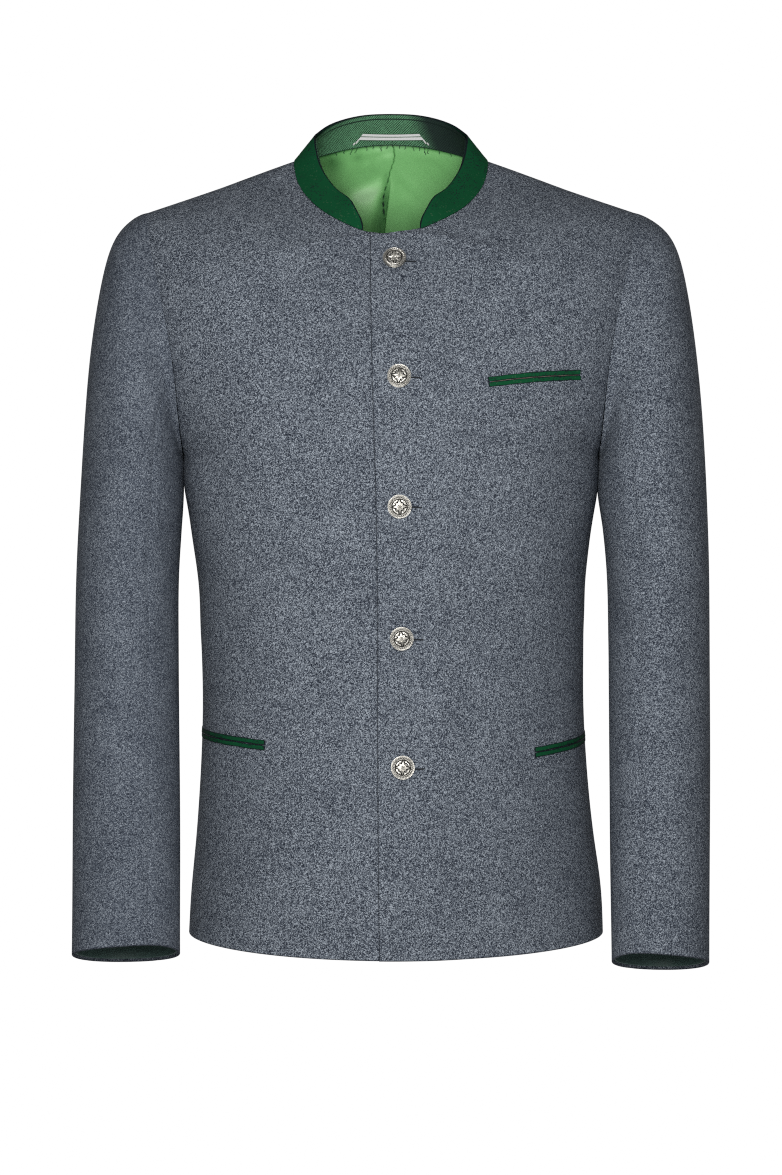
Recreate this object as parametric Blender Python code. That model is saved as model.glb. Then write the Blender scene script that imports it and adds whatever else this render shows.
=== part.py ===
"""Tyrolean loden jacket, worn and hollow, as cut and sewn pieces.

Metres, +Z up, the front faces -Y and the wearer's left is +X.  The origin is the middle of the
neck opening, level with the points where the shoulder seams meet the collar.  Tables are in
millimetres and degrees.
"""
import math

import bpy
import numpy as np

for old in list(bpy.data.objects):
    bpy.data.objects.remove(old, do_unlink=True)

MM = 0.001

# walls of cloth and the space between pieces
LODEN_WALL = 2.0
COLLAR_WALL = 1.6
FACING_WALL = 1.1
LINING_WALL = 1.0
JET_WALL = 1.3
TAPE_WALL = 0.8
SEAM_GAP = 0.3
LAYER_GAP = 0.4
SLEEVE_SEAM_GAP = 0.5
LINING_EASE = 2.2
LINING_TOP = 0.03  # share of the collar's height
LINING_TURN = 80.0  # how far round the neck it reaches, each way from the middle of the back
LINING_REACH = 0.62
LINING_ROWS = (7.4, 10.2)
LINING_DROP = 6.5

# neck seam, an oval in plan
NECK_HALF_WIDTH = 86.0
NECK_FRONT = 80.0
NECK_BACK = 68.0
NECK_SHOULDER_ANGLE = 93.0
LEVEL_REACH = {1: 1.0, -1: 0.3}  # front and back: how far across a row the middle stays level
LEVEL_UNTIL = 1.6  # the inner place up to which rows leave the middle level
SHOULDER_NORMAL = np.array([0.33, 0.0, 0.944])
NECK_HEIGHTS = (  # angle from the middle of the front, height
    (0, -72.5), (15, -69.5), (30, -60.5), (45, -49.0), (60, -35.0), (75, -19.0), (90, -1.0),
    (110, 5.5), (130, 11.5), (150, 18.5), (165, 22.5), (180, 24.0),
)

# middle of the front and of the back, and the side seam
FRONT_PROFILE = (  # height, y
    (-704.5, -125), (-611, -124), (-525, -119), (-481, -117), (-438, -118), (-363, -125),
    (-309, -129.5), (-262, -132), (-200, -128), (-150, -117), (-110, -100.5), (-72.5, -80),
)
BACK_PROFILE = (  # height, y
    (-698, 121), (-611, 123), (-525, 111), (-481, 104), (-438, 103), (-363, 111), (-309, 118),
    (-262, 123), (-200, 126), (-150, 124.5), (-100, 116), (-50, 101), (-15, 87), (24, 68),
)
SIDE_SEAM = (  # height, x on the wearer's left, x on the wearer's right, y
    (-692, 190.7, 181.8, 22), (-654, 188.8, 179.5, 24), (-611, 183.3, 175.8, 25),
    (-568, 178.6, 172.8, 25), (-525, 175.7, 171.0, 24), (-481, 174.0, 170.2, 22),
    (-438, 173.8, 171.0, 19), (-395, 174.4, 172.8, 15), (-363, 176.6, 175.4, 12),
    (-331, 179.6, 179.4, 8), (-309, 182.8, 182.3, 6), (-290, 185.3, 185.2, 4),
    (-264.5, 186.0, 186.0, 2),
)

# armhole, an upright oval seen from the side, and how far out it stands
ARMHOLE_TOP = -45.0
ARMHOLE_BOTTOM = -264.5
ARMHOLE_HALF_DEPTH = 74.0
ARMHOLE_OUT = (  # height, x
    (-264.5, 186.0), (-240, 187.8), (-212, 189.7), (-180, 193), (-150, 198), (-120, 204),
    (-95, 210), (-70, 215), (-45, 218),
)

# rows across the panels: inner is 0 hem, 1 neck, 2 shoulder; outer is 0 hem, 1 underarm, 2 shoulder
FRONT_ROWS = (  # inner, outer, turn at the outer end, reach inner, reach outer, rise
    (0.000, 0.000, 94, 0.46, 0.37, 0),
    (0.180, 0.257, 94, 0.46, 0.37, 0),
    (0.350, 0.503, 94, 0.46, 0.37, 0),
    (0.530, 0.760, 93, 0.46, 0.37, 0),
    (0.700, 1.000, 91, 0.46, 0.37, 0),
    (0.754, 1.083, 83, 0.46, 0.36, 0),
    (0.805, 1.167, 74, 0.45, 0.35, 0),
    (0.857, 1.261, 66, 0.44, 0.34, 0),
    (0.909, 1.356, 59, 0.42, 0.33, 0),
    (0.957, 1.450, 52, 0.40, 0.33, 1),
    (1.000, 1.544, 44, 0.38, 0.33, 2),
    (1.333, 1.678, 32, 0.35, 0.33, 2.5),
    (1.667, 1.822, 17, 0.34, 0.33, 2.5),
    (2.000, 2.000, 0, 0.33, 0.33, 0),
)
BACK_ROWS = (  # the same columns
    (0.000, 0.000, 86, 0.44, 0.35, 0),
    (0.180, 0.257, 86, 0.44, 0.35, 0),
    (0.350, 0.503, 86, 0.44, 0.35, 0),
    (0.480, 0.760, 87, 0.44, 0.35, 0),
    (0.604, 1.000, 88, 0.44, 0.36, 0),
    (0.662, 1.100, 80, 0.44, 0.36, 0),
    (0.720, 1.200, 71, 0.43, 0.35, 0),
    (0.778, 1.300, 63, 0.42, 0.35, 0),
    (0.835, 1.400, 56, 0.41, 0.34, 0),
    (0.892, 1.500, 49, 0.40, 0.34, 1),
    (0.947, 1.600, 42, 0.39, 0.33, 2),
    (1.000, 1.700, 34, 0.38, 0.33, 2),
    (1.400, 1.810, 23, 0.36, 0.33, 1.0),
    (1.750, 1.910, 11, 0.34, 0.33, 0.3),
    (2.000, 2.000, 0, 0.33, 0.33, 0),
)

# front closure, left over right
TOP_EDGE = ((-704.5, -10.2), (-520, -11.7), (-306, -13.2), (-200, -16.4), (-72, -18.6))
UNDER_EDGE = ((-704.5, 31), (-520, 30), (-306, 27.5), (-200, 26.5), (-72, 23))
OVERLAP_EASE = 1.0
OVERLAP_FULL = 33.0
OVERLAP_END = 75.0

# sleeve rings from the armhole to the cuff, for the wearer's left
SLEEVE_RINGS = (
    # outer x, outer z, inner x, inner z, middle y, half depth, slant, squareness
    (218.0, -45.0, 186.0, -264.5, 1, 74, 0.00, 2.00),
    (228.5, -48.8, 188.0, -267.0, 1, 75, 0.00, 2.00),
    (245.0, -61.0, 187.8, -271.0, -3, 76, 0.00, 2.02),
    (257.8, -84.0, 186.9, -278.0, -8, 76, 0.00, 2.04),
    (266.9, -124.0, 186.3, -287.5, -12, 75, 0.00, 2.06),
    (273.8, -175.0, 186.8, -303.0, -16, 73, 0.00, 2.08),
    (278.6, -236.0, 190.0, -330.0, -16, 71, 0.00, 2.10),
    (281.9, -308.0, 193.5, -372.0, -17, 68, 0.00, 2.12),
    (284.4, -384.0, 194.4, -424.0, -20, 65, 0.02, 2.14),
    (284.5, -468.0, 194.8, -488.0, -26, 61, 0.05, 2.15),
    (283.2, -556.0, 194.9, -562.0, -36, 57, 0.11, 2.15),
    (282.0, -637.0, 194.7, -638.0, -48, 52, 0.18, 2.15),
    (280.5, -714.0, 194.4, -712.0, -62, 48, 0.24, 2.15),
)
RIGHT_SLEEVE_MOVE = (  # how the wearer's right sleeve differs: ring, outer x, inner x, z
    (0, 0, 0, 0), (1, -1, 0, 0), (2, -3.8, 0, 0), (5, -4.6, 0, 0), (6, -4.6, -2.6, 0),
    (7, -4.2, -4.2, 0), (9, -2.6, -5.6, 3), (10, -1.6, -7.0, 4.3), (12, 1.2, -8.2, 7),
)
FRONT_SLEEVE_SEAM = 118.0
BACK_SLEEVE_SEAM = -122.0
CUFF_LINING_RINGS = (11.35, 11.96)

COLLAR_FOOT = 0.8  # gap between the neck seam and the collar
COLLAR_END_STEPS = (0, 1.2, 3.5, 6.5, 10, 15, 22, 30, 39, 48, 58, 68, 79)  # degrees from its end
COLLAR_BACK_STEPS = 6
# the facing inside it: lowest and highest share of the height, degrees short of the ends
FACING_LOW = 0.08
FACING_HIGH = 0.97
FACING_END = 1.8
# standing collar: angle from the middle of the front, height of the band, lean inwards
COLLAR_BAND = (
    (16.5, 2.5, 22), (18, 8.5, 24), (21, 15.0, 26), (25, 21.0, 29), (30, 25.5, 33),
    (36, 27.0, 38), (45, 27.3, 44), (60, 27.5, 47), (75, 27.2, 46), (90, 27.2, 43),
    (105, 27.8, 37), (120, 28.6, 29), (150, 30.2, 16), (180, 29.6, 13),
)

# pockets, straight in height along the panel
CHEST_POCKET = (84.0, -204.6, 104.0, 8.2)
HIP_LEFT_POCKET = (125.5, -526.6, 140.0, 12.0)
HIP_RIGHT_POCKET = (110.0, -520.0, 140.0, 9.0)
JET_WIDTH = 4.0
POCKET_END = 4.0
JET_SPLIT = 0.9

# buttons: x and height of each, then the shape turned round the axis
BUTTONS = ((3.0, -98.2), (6.9, -200.8), (7.2, -312.0), (9.0, -425.7), (9.9, -537.8))
BUTTON_PROFILE = (  # radius, distance out from the cloth
    (0.0, 0.3), (2.0, 0.3), (2.0, 3.0), (8.9, 3.2), (10.0, 3.8), (10.1, 4.5), (9.2, 5.3),
    (8.2, 5.1), (4.8, 5.9), (0.0, 6.3),
)
BUTTON_SIDES = 22

TAPE_HALF_LENGTH = 33.0
TAPE_WIDTH = 6.6
TAPE_PLACE = 0.39  # share of the collar's height at the middle of the tape
TAPE_DROP = 0.15  # how much lower its ends are
TAPE_BULGE = 1.6
PLEAT_HEIGHT = 4.0
PLEAT_WIDTH = 7.0

COLOURS = {
    "loden": (0.130, 0.150, 0.178, 1), "green cloth": (0.008, 0.063, 0.024, 1),
    "facing": (0.045, 0.130, 0.066, 1), "lining": (0.170, 0.420, 0.145, 1),
    "dark lining": (0.010, 0.022, 0.022, 1), "tape": (0.060, 0.230, 0.080, 1),
    "old silver": (0.330, 0.325, 0.300, 1),
}


def material(name, roughness=0.85, metallic=0.0):
    """A plain surface of the named colour."""
    made = bpy.data.materials.get(name) or bpy.data.materials.new(name)
    made.use_nodes = True
    shader = made.node_tree.nodes["Principled BSDF"]
    shader.inputs["Base Color"].default_value = COLOURS[name]
    shader.inputs["Roughness"].default_value = roughness
    shader.inputs["Metallic"].default_value = metallic
    made.diffuse_color = COLOURS[name]
    return made


def curve_through(table, at):
    """Smooth curves through a table whose first column rises; one result column for each other."""
    table = np.asarray(table, float)
    knots, values = table[:, 0], table[:, 1:]
    count, step = len(knots), np.diff(knots)
    system = np.eye(count)
    right = np.zeros_like(values)
    inner = np.arange(1, count - 1)
    system[inner, inner - 1] = step[:-1]
    system[inner, inner] = 2 * (step[:-1] + step[1:])
    system[inner, inner + 1] = step[1:]
    slope = np.diff(values, axis=0) / step[:, None]
    right[1:-1] = 6 * np.diff(slope, axis=0)
    bend = np.linalg.solve(system, right)
    at = np.clip(np.asarray(at, float), knots[0], knots[-1])
    cell = np.clip(np.searchsorted(knots, at, side="right") - 1, 0, count - 2)
    width = step[cell][..., None]
    to_right = (at - knots[cell])[..., None]
    to_left = width - to_right
    cubic = (bend[cell] * to_left ** 3 + bend[cell + 1] * to_right ** 3) / (6 * width)
    left_part = (values[cell] / width - bend[cell] * width / 6) * to_left
    right_part = (values[cell + 1] / width - bend[cell + 1] * width / 6) * to_right
    return cubic + left_part + right_part


def numbered(table):
    """The table with its row number put first."""
    table = np.asarray(table, float)
    return np.column_stack([np.arange(len(table)), table])


def unit(vectors):
    """Vectors of length one."""
    return vectors / np.linalg.norm(vectors, axis=-1, keepdims=True)


def neck_seam(angle):
    """Points of the neck seam; 0 is the middle of the front, 180 the middle of the back."""
    angle = np.asarray(angle, float)
    folded = 180 - np.abs(180 - np.mod(angle, 360))
    turn = np.radians(angle)
    depth = np.where(np.cos(turn) > 0, NECK_FRONT, NECK_BACK)
    height = curve_through(NECK_HEIGHTS, folded)[..., 0]
    return np.stack([NECK_HALF_WIDTH * np.sin(turn), -depth * np.cos(turn), height], -1)


def armhole(angle, facing):
    """Points of the armhole edge; 0 is the shoulder, 180 the underarm, facing 1 front, -1 back."""
    turn = np.radians(np.asarray(angle, float))
    middle = (ARMHOLE_TOP + ARMHOLE_BOTTOM) / 2
    z = middle + (ARMHOLE_TOP - ARMHOLE_BOTTOM) / 2 * np.cos(turn)
    y = 1 - np.cos(turn) - facing * ARMHOLE_HALF_DEPTH * np.sin(turn)
    x = curve_through(ARMHOLE_OUT, z)[..., 0]
    return np.stack([x, y, z], -1)


def inner_end(place, facing):
    """Where a row starts: up the middle of the body, then round the neck seam to the shoulder."""
    profile = FRONT_PROFILE if facing > 0 else BACK_PROFILE
    z = profile[0][0] + (profile[-1][0] - profile[0][0]) * np.clip(place, 0, 1)
    y = curve_through(profile, z)[..., 0]
    middle = np.stack([np.zeros_like(z), y, z], -1)
    start = 0.0 if facing > 0 else 180.0
    around = neck_seam(start + (NECK_SHOULDER_ANGLE - start) * np.clip(place - 1, 0, 1))
    return np.where((place > 1)[..., None], around, middle)


def outer_end(place, facing, side):
    """Where a row ends: up the side seam, then round the armhole to the shoulder point."""
    low, high = SIDE_SEAM[0][0], SIDE_SEAM[-1][0]
    z = low + (high - low) * np.clip(place, 0, 1)
    seam = curve_through(SIDE_SEAM, z)
    width = seam[..., 0] if side > 0 else seam[..., 1]
    below = np.stack([width, seam[..., 2], z], -1)
    above = armhole(180 * (2 - np.clip(place, 1, 2)), facing)
    return np.where((place > 1)[..., None], above, below)


def body_points(row, across, facing, side):
    """The body's outer face: row up the panel, across 0 middle to 1 side, less than 0 beyond."""
    table = FRONT_ROWS if facing > 0 else BACK_ROWS
    values = curve_through(numbered(table), row)
    inner_place, outer_place = place_on_rows(table, row)
    turn, reach_in, reach_out, rise = np.moveaxis(values[..., 2:], -1, 0)
    start = inner_end(inner_place, facing)
    end = outer_end(outer_place, facing, side)
    length = np.linalg.norm(end - start, axis=-1)
    angle = np.radians(turn)
    leave = np.stack([np.ones_like(angle), np.zeros_like(angle)], -1)
    arrive = np.stack([np.cos(angle), facing * np.sin(angle)], -1)
    first = start[..., :2] + leave * (reach_in * length)[..., None]
    second = end[..., :2] - arrive * (reach_out * length)[..., None]
    t = np.abs(across)[..., None]
    plan = ((1 - t) ** 3 * start[..., :2] + 3 * t * (1 - t) ** 2 * first
            + 3 * t ** 2 * (1 - t) * second + t ** 3 * end[..., :2])
    t = t[..., 0]
    level = np.clip((LEVEL_UNTIL - inner_place) / (LEVEL_UNTIL - 1), 0, 1)
    share = t - level * t * np.clip(1 - t / LEVEL_REACH[facing], 0, 1) ** 2
    height = start[..., 2] + (end[..., 2] - start[..., 2]) * share + rise * np.sin(np.pi * t)
    x = plan[..., 0] * np.where(across < 0, -1, 1)
    return np.stack([x * side, plan[..., 1], height], -1)


def place_on_rows(table, row):
    """Where a row meets the inner and the outer path, in even steps between the table's rows."""
    table = np.asarray(table, float)
    steps = np.arange(len(table))
    return np.interp(row, steps, table[:, 0]), np.interp(row, steps, table[:, 1])


def neck_row_of(table):
    """The row whose inner end is the neck point."""
    places = [row[0] for row in table]
    return float(places.index(1.0))


def body_normals(row, across, facing, side):
    """Outward directions of the body's face, from steps of the formula along and across."""
    step = 1e-3
    table = FRONT_ROWS if facing > 0 else BACK_ROWS
    last, neck = len(table) - 1, neck_row_of(table)
    low, high = np.clip(row - step, 0, last), np.clip(row + step, 0, last)
    high = np.where(row <= neck, np.minimum(high, neck), high)
    low = np.where(row > neck, np.maximum(low, neck + 1e-6), low)
    up = body_points(high, across, facing, side) - body_points(low, across, facing, side)
    before = np.where(across >= 0, np.maximum(across - step, 0), across - step)
    out = body_points(row, across + step, facing, side) - body_points(row, before, facing, side)
    return unit(np.cross(out, up) * side * facing)


def overlap(x):
    """How far the top front stands off the under one, full near the edge and fading sideways."""
    fade = np.clip((OVERLAP_END - x) / (OVERLAP_END - OVERLAP_FULL), 0, 1)
    return (LODEN_WALL + OVERLAP_EASE) * fade * fade * (3 - 2 * fade)


def front_face(row, across, side, out=0.0):
    """The outer face of a front panel, with the top one lifted over the under one."""
    base = body_points(row, across, 1, side)
    lift = overlap(base[..., 0]) if side > 0 else np.zeros(base.shape[:-1])
    return base + body_normals(row, across, 1, side) * (lift + out)[..., None]


def find_on_front(x, z, side):
    """Row and across of the points of a front with this distance from the middle and height."""
    row, across = np.full_like(x, 5.0), np.clip(x / 260, 0, 0.9)
    step = 1e-3
    for _ in range(30):
        here = body_points(row, across, 1, side)
        by_row = (body_points(row + step, across, 1, side) - here) / step
        by_across = (body_points(row, across + step, 1, side) - here) / step
        miss_x, miss_z = x - here[..., 0] * side, z - here[..., 2]
        a, b = by_row[..., 0] * side, by_across[..., 0] * side
        c, d = by_row[..., 2], by_across[..., 2]
        scale = a * d - b * c
        row = np.clip(row + np.clip((miss_x * d - miss_z * b) / scale, -1, 1), 0.05, 12)
        across = np.clip(across + np.clip((a * miss_z - c * miss_x) / scale, -0.2, 0.2), -0.2, 1)
    return row, across


def grid_faces(rows, columns, flip=False):
    """Faces of a grid whose points run row by row."""
    index = np.arange(rows * columns).reshape(rows, columns)
    corners = (index[:-1, :-1], index[:-1, 1:], index[1:, 1:], index[1:, :-1])
    faces = np.stack([corner.ravel() for corner in corners], -1)
    return faces[:, ::-1] if flip else faces


def only_used(faces, *columns):
    """The faces with their points numbered afresh, and each column with only the used points."""
    used = np.unique(faces)
    renumber = np.zeros(len(columns[0]), int)
    renumber[used] = np.arange(len(used))
    return (renumber[faces],) + tuple(column[used] for column in columns)


def face_normals(points, faces):
    """Outward direction at each point, the mean of its faces."""
    diagonal = points[faces[:, 2]] - points[faces[:, 0]]
    other = points[faces[:, 3]] - points[faces[:, 1]]
    facing = np.cross(diagonal, other)
    total = np.zeros_like(points)
    for corner in range(4):
        np.add.at(total, faces[:, corner], facing)
    return unit(total)


def pull_back(points, amount):
    """The grid with its last row moved towards the row before by the amount."""
    moved = points.copy()
    moved[-1] -= unit(points[-1] - points[-2]) * amount
    return moved


def trimmed(points, sides, amount=SEAM_GAP / 2):
    """The grid with the chosen sides ('top', 'bottom', 'start', 'end') drawn in by the amount."""
    if "top" in sides:
        points = pull_back(points, amount)
    if "bottom" in sides:
        points = pull_back(points[::-1], amount)[::-1]
    if "end" in sides:
        points = np.swapaxes(pull_back(np.swapaxes(points, 0, 1), amount), 0, 1)
    if "start" in sides:
        points = np.swapaxes(pull_back(np.swapaxes(points, 0, 1)[::-1], amount)[::-1], 0, 1)
    return points


def add_object(name, points, faces, surface, smooth=True):
    """One named solid from points in millimetres."""
    mesh = bpy.data.meshes.new(name)
    mesh.from_pydata([tuple(p) for p in points * MM], [], [tuple(map(int, f)) for f in faces])
    mesh.polygons.foreach_set("use_smooth", [smooth] * len(mesh.polygons))
    mesh.update()
    mesh.validate()
    made = bpy.data.objects.new(name, mesh)
    mesh.materials.append(surface)
    bpy.context.scene.collection.objects.link(made)
    return made


def shell(name, points, faces, wall, surface, directions=None):
    """A closed wall of cloth: the given outer face, the same drawn in, and an edge all round."""
    normals = face_normals(points, faces) if directions is None else directions
    inner = points - normals * wall
    count = len(points)
    edges = np.concatenate([faces[:, [i, (i + 1) % 4]] for i in range(4)])
    known = {tuple(edge) for edge in edges.tolist()}
    rim = [edge for edge in edges.tolist() if (edge[1], edge[0]) not in known]
    walls = [(b, a, a + count, b + count) for a, b in rim]
    triangles = np.concatenate([faces[:, [0, 1, 2]], faces[:, [0, 2, 3]]])
    all_faces = triangles.tolist() + (triangles[:, ::-1] + count).tolist() + walls
    return add_object(name, np.concatenate([points, inner]), all_faces, surface)


def neck_corner(points, grid_rows, across, neck_row):
    """How far the part beyond the middle moves up along the chest to meet the neck seam."""
    angle = np.degrees(np.arcsin(np.clip(np.abs(points[..., 0]) / NECK_HALF_WIDTH, 0, 1)))
    middle = neck_seam(0.0)[2]
    top_height = points[grid_rows[:, 0] <= neck_row][-1:, :, 2]
    near = np.clip((grid_rows - neck_row) / 1.5 + 1, 0, 1) * (across < 0) * (grid_rows <= neck_row)
    rise = near * (neck_seam(angle)[..., 2] - middle + (middle - top_height))
    profile = np.asarray(FRONT_PROFILE, float)
    lean = (profile[-1, 1] - profile[-2, 1]) / (profile[-1, 0] - profile[-2, 0])
    return np.stack([np.zeros_like(rise), rise * lean, rise], -1)


def make_front(name, side, surface):
    """One front, from its own edge across the middle to the side seam and the armhole."""
    neck_row, last = neck_row_of(FRONT_ROWS), len(FRONT_ROWS) - 1
    low_rows = np.concatenate([np.linspace(0, 4, 12), np.linspace(4, neck_row, 10)[1:]])
    rows = np.concatenate([low_rows, np.linspace(neck_row, last, 10)[1:]])
    edge = TOP_EDGE if side > 0 else UNDER_EDGE
    trial = np.linspace(-0.3, 0.0, 61)
    start = np.zeros(len(rows))
    for i, row in enumerate(rows):
        if row > neck_row:
            continue
        line = body_points(np.full_like(trial, row), trial, 1, side)
        beyond = -curve_through(edge, line[-1, 2])[0] * side
        start[i] = np.interp(-beyond, line[:, 0] * side, trial)
    beyond = start[:, None] * np.array([1.0, 0.5])
    share = np.broadcast_to(np.linspace(0, 1, 15), (len(rows), 15))
    across = np.concatenate([beyond, share], axis=1)
    first = beyond.shape[1]
    grid_rows = np.broadcast_to(rows[:, None], across.shape)
    base = body_points(grid_rows, across, 1, side)
    normals = body_normals(grid_rows, across, 1, side)
    lift = overlap(base[..., 0]) if side > 0 else np.zeros(across.shape)
    points = base + normals * lift[..., None]
    if side > 0:
        points += neck_corner(points, grid_rows, across, neck_row)
    points = trimmed(points, ("top", "end"))
    neck = rows > neck_row
    points[neck, first] += unit(points[neck, first + 1] - points[neck, first]) * SEAM_GAP / 2
    normals[-1] = SHOULDER_NORMAL * (side, 1, 1)
    cells = np.ones((len(rows) - 1, across.shape[1] - 1), bool)
    cells[rows[1:] > neck_row, :first] = False
    faces = grid_faces(*across.shape, flip=side < 0)[cells.ravel()]
    exact = np.zeros(across.shape, bool)
    exact[-1], exact[:, -1] = True, True
    faces, points, normals, exact = only_used(faces, points.reshape(-1, 3),
                                              normals.reshape(-1, 3), exact.ravel())
    normals = np.where(exact[:, None], normals, face_normals(points, faces))
    return shell(name, points, faces, LODEN_WALL, surface, normals)


def make_back(name, surface):
    """The back in one piece: two halves that share the points of the middle line."""
    neck_row, last = neck_row_of(BACK_ROWS), len(BACK_ROWS) - 1
    low_rows = np.concatenate([np.linspace(0, 4, 11), np.linspace(4, neck_row, 11)[1:]])
    rows = np.concatenate([low_rows, np.linspace(neck_row, last, 8)[1:]])
    grid_rows, across = np.meshgrid(rows, np.linspace(0, 1, 13), indexing="ij")
    index = np.arange(across.size).reshape(across.shape)
    on_middle = (across == 0) & (grid_rows <= neck_row)
    halves, directions, faces = [], [], []
    for number, side in enumerate((1, -1)):
        points = trimmed(body_points(grid_rows, across, -1, side), ("top", "end"))
        neck = rows > neck_row
        points[neck, 0] += unit(points[neck, 1] - points[neck, 0]) * SEAM_GAP / 2
        normals = body_normals(grid_rows, across, -1, side)
        normals[-1] = SHOULDER_NORMAL * (side, 1, 1)
        halves.append(points.reshape(-1, 3))
        directions.append(normals.reshape(-1, 3))
        half_faces = grid_faces(*across.shape, flip=side > 0)
        if number:
            half_faces = np.where(on_middle, index, index + across.size).ravel()[half_faces]
        faces.append(half_faces)
    exact = np.tile(((grid_rows == last) | (across == 1)).ravel(), 2)
    faces, points, normals, exact = only_used(np.concatenate(faces), np.concatenate(halves),
                                              np.concatenate(directions), exact)
    normals = np.where(exact[:, None], normals, face_normals(points, faces))
    return shell(name, points, faces, LODEN_WALL, surface, normals)


def make_lining(name, surface):
    """The lining inside the back where the neck shows it, with a soft pleat down its middle.

    Its top edge runs under the collar's facing; from there it drops past the neck seam, falls
    straight to the first full row, and below that it follows the back.
    """
    half = np.array([0, 0.02, 0.04, 0.07, 0.11, 0.17, 0.25, 0.34, 0.44, 0.54, LINING_REACH])
    across = np.concatenate([-half[:0:-1], half])
    rows = np.linspace(LINING_ROWS[0], LINING_ROWS[1], 6)
    grid_rows, grid_across = np.meshgrid(rows, across, indexing="ij")
    base = body_points(grid_rows, grid_across, -1, 1)
    normals = body_normals(grid_rows, grid_across, -1, 1)
    pleat = PLEAT_HEIGHT * np.exp(-(base[..., 0] / PLEAT_WIDTH) ** 2)
    below = base - normals * (LODEN_WALL + LINING_EASE + pleat)[..., None]
    angle = 180 - LINING_TURN * across / LINING_REACH
    edge = collar_points(angle, LINING_TOP, COLLAR_WALL + LAYER_GAP)
    under_edge = edge - np.array([0.0, 0.0, LINING_DROP])
    share = np.linspace(0, 1, 4)[1:, None, None]
    fall = below[-1] * (1 - share) + under_edge * share
    points = np.concatenate([below, fall, edge[None]])
    faces = grid_faces(len(points), len(across), flip=True)
    return shell(name, points.reshape(-1, 3), faces, LINING_WALL, surface)


def sleeve_points(ring, angle, side):
    """The sleeve's outer face: ring 0 armhole to 12 cuff, angle 0 outside, 90 front, 180 inside."""
    ring, angle = np.broadcast_arrays(ring, angle)
    values = curve_through(numbered(SLEEVE_RINGS), ring)
    outer_x, outer_z, inner_x, inner_z, middle, depth, slant, square = np.moveaxis(values, -1, 0)
    if side < 0:
        move = curve_through(RIGHT_SLEEVE_MOVE, ring)
        outer_x, inner_x = outer_x + move[..., 0], inner_x + move[..., 1]
        outer_z, inner_z = outer_z + move[..., 2], inner_z + move[..., 2]
    turn = np.radians(angle)
    power = 2 / square
    cosine = np.sign(np.cos(turn)) * np.abs(np.cos(turn)) ** power
    sine = np.sign(np.sin(turn)) * np.abs(np.sin(turn)) ** power
    x = (outer_x + inner_x) / 2 + (outer_x - inner_x) / 2 * cosine
    z = (outer_z + inner_z) / 2 + (outer_z - inner_z) / 2 * cosine
    y = middle - depth * sine
    z = z - slant * (y - middle)
    folded = np.abs(np.mod(angle + 180, 360) - 180)
    edge = armhole(folded, 1)
    first = SLEEVE_RINGS[0]
    straight = (first[0] + first[2]) / 2 + (first[0] - first[2]) / 2 * np.cos(turn)
    fade = np.clip(1 - ring / 4, 0, 1) ** 2
    x = x + (edge[..., 0] - straight) * fade
    y = y + (1 - np.cos(turn) - first[4]) * fade
    return np.stack([x * side, y, z], -1)


def make_sleeve(name, side, start, stop, columns, rings, wall, depth, surface):
    """A length of sleeve between two angles, drawn in by the depth from the outer face."""
    angle = np.linspace(start, stop, columns)
    grid_rings, grid_angle = np.meshgrid(rings, angle, indexing="ij")
    points = sleeve_points(grid_rings, grid_angle, side)
    faces = grid_faces(len(rings), columns, flip=side < 0)
    step = 1e-3
    along = sleeve_points(grid_rings + step, grid_angle, side) - points
    along[-1] = points[-1] - sleeve_points(grid_rings - step, grid_angle, side)[-1]
    around = sleeve_points(grid_rings, grid_angle + step, side) - points
    normals = unit(np.cross(around, along)) * side
    points = trimmed(points - normals * depth, ("bottom",))
    points = trimmed(points, ("start", "end"), SLEEVE_SEAM_GAP / 2)
    return shell(name, points.reshape(-1, 3), faces, wall, surface, normals.reshape(-1, 3))


def collar_points(angle, up, drawn_in=0.0):
    """The standing collar: angle round the neck, up 0 at the seam and 1 at the top edge."""
    angle, up = np.broadcast_arrays(np.asarray(angle, float), np.asarray(up, float))
    folded = 180 - np.abs(180 - angle)
    height, lean = np.moveaxis(curve_through(COLLAR_BAND, folded), -1, 0)
    foot = neck_seam(angle)
    turn = np.radians(angle)
    inward = np.stack([-np.sin(turn), np.cos(turn), 0 * turn], -1)
    tip = np.radians(lean)[..., None]
    rise = np.array([0.0, 0.0, 1.0])
    direction = inward * np.sin(tip) + rise * np.cos(tip)
    across = inward * np.cos(tip) - rise * np.sin(tip)
    left_front = (angle < 90) & (angle > 0)
    lift = np.where(left_front, overlap(foot[..., 0]), 0.0)
    start = COLLAR_FOOT + up * (height - COLLAR_FOOT)
    return foot + direction * start[..., None] + across * (drawn_in - lift)[..., None]


def make_collar(name, drawn_in, wall, low, high, end_margin, surface):
    """A layer of the collar, from one front end round the back to the other."""
    ends = COLLAR_BAND[0][0] + end_margin
    half = ends + np.array(COLLAR_END_STEPS)
    last_step = COLLAR_END_STEPS[-1] - COLLAR_END_STEPS[-2]
    behind = np.linspace(half[-1] + last_step, 180, COLLAR_BACK_STEPS)
    angle = np.concatenate([half, behind])
    angle = np.concatenate([angle, 360 - angle[-2::-1]])
    grid_angle, grid_up = np.meshgrid(angle, np.linspace(low, high, 5), indexing="ij")
    points = collar_points(grid_angle, grid_up, drawn_in)
    faces = grid_faces(*grid_angle.shape)
    return shell(name, points.reshape(-1, 3), faces, wall, surface)


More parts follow.
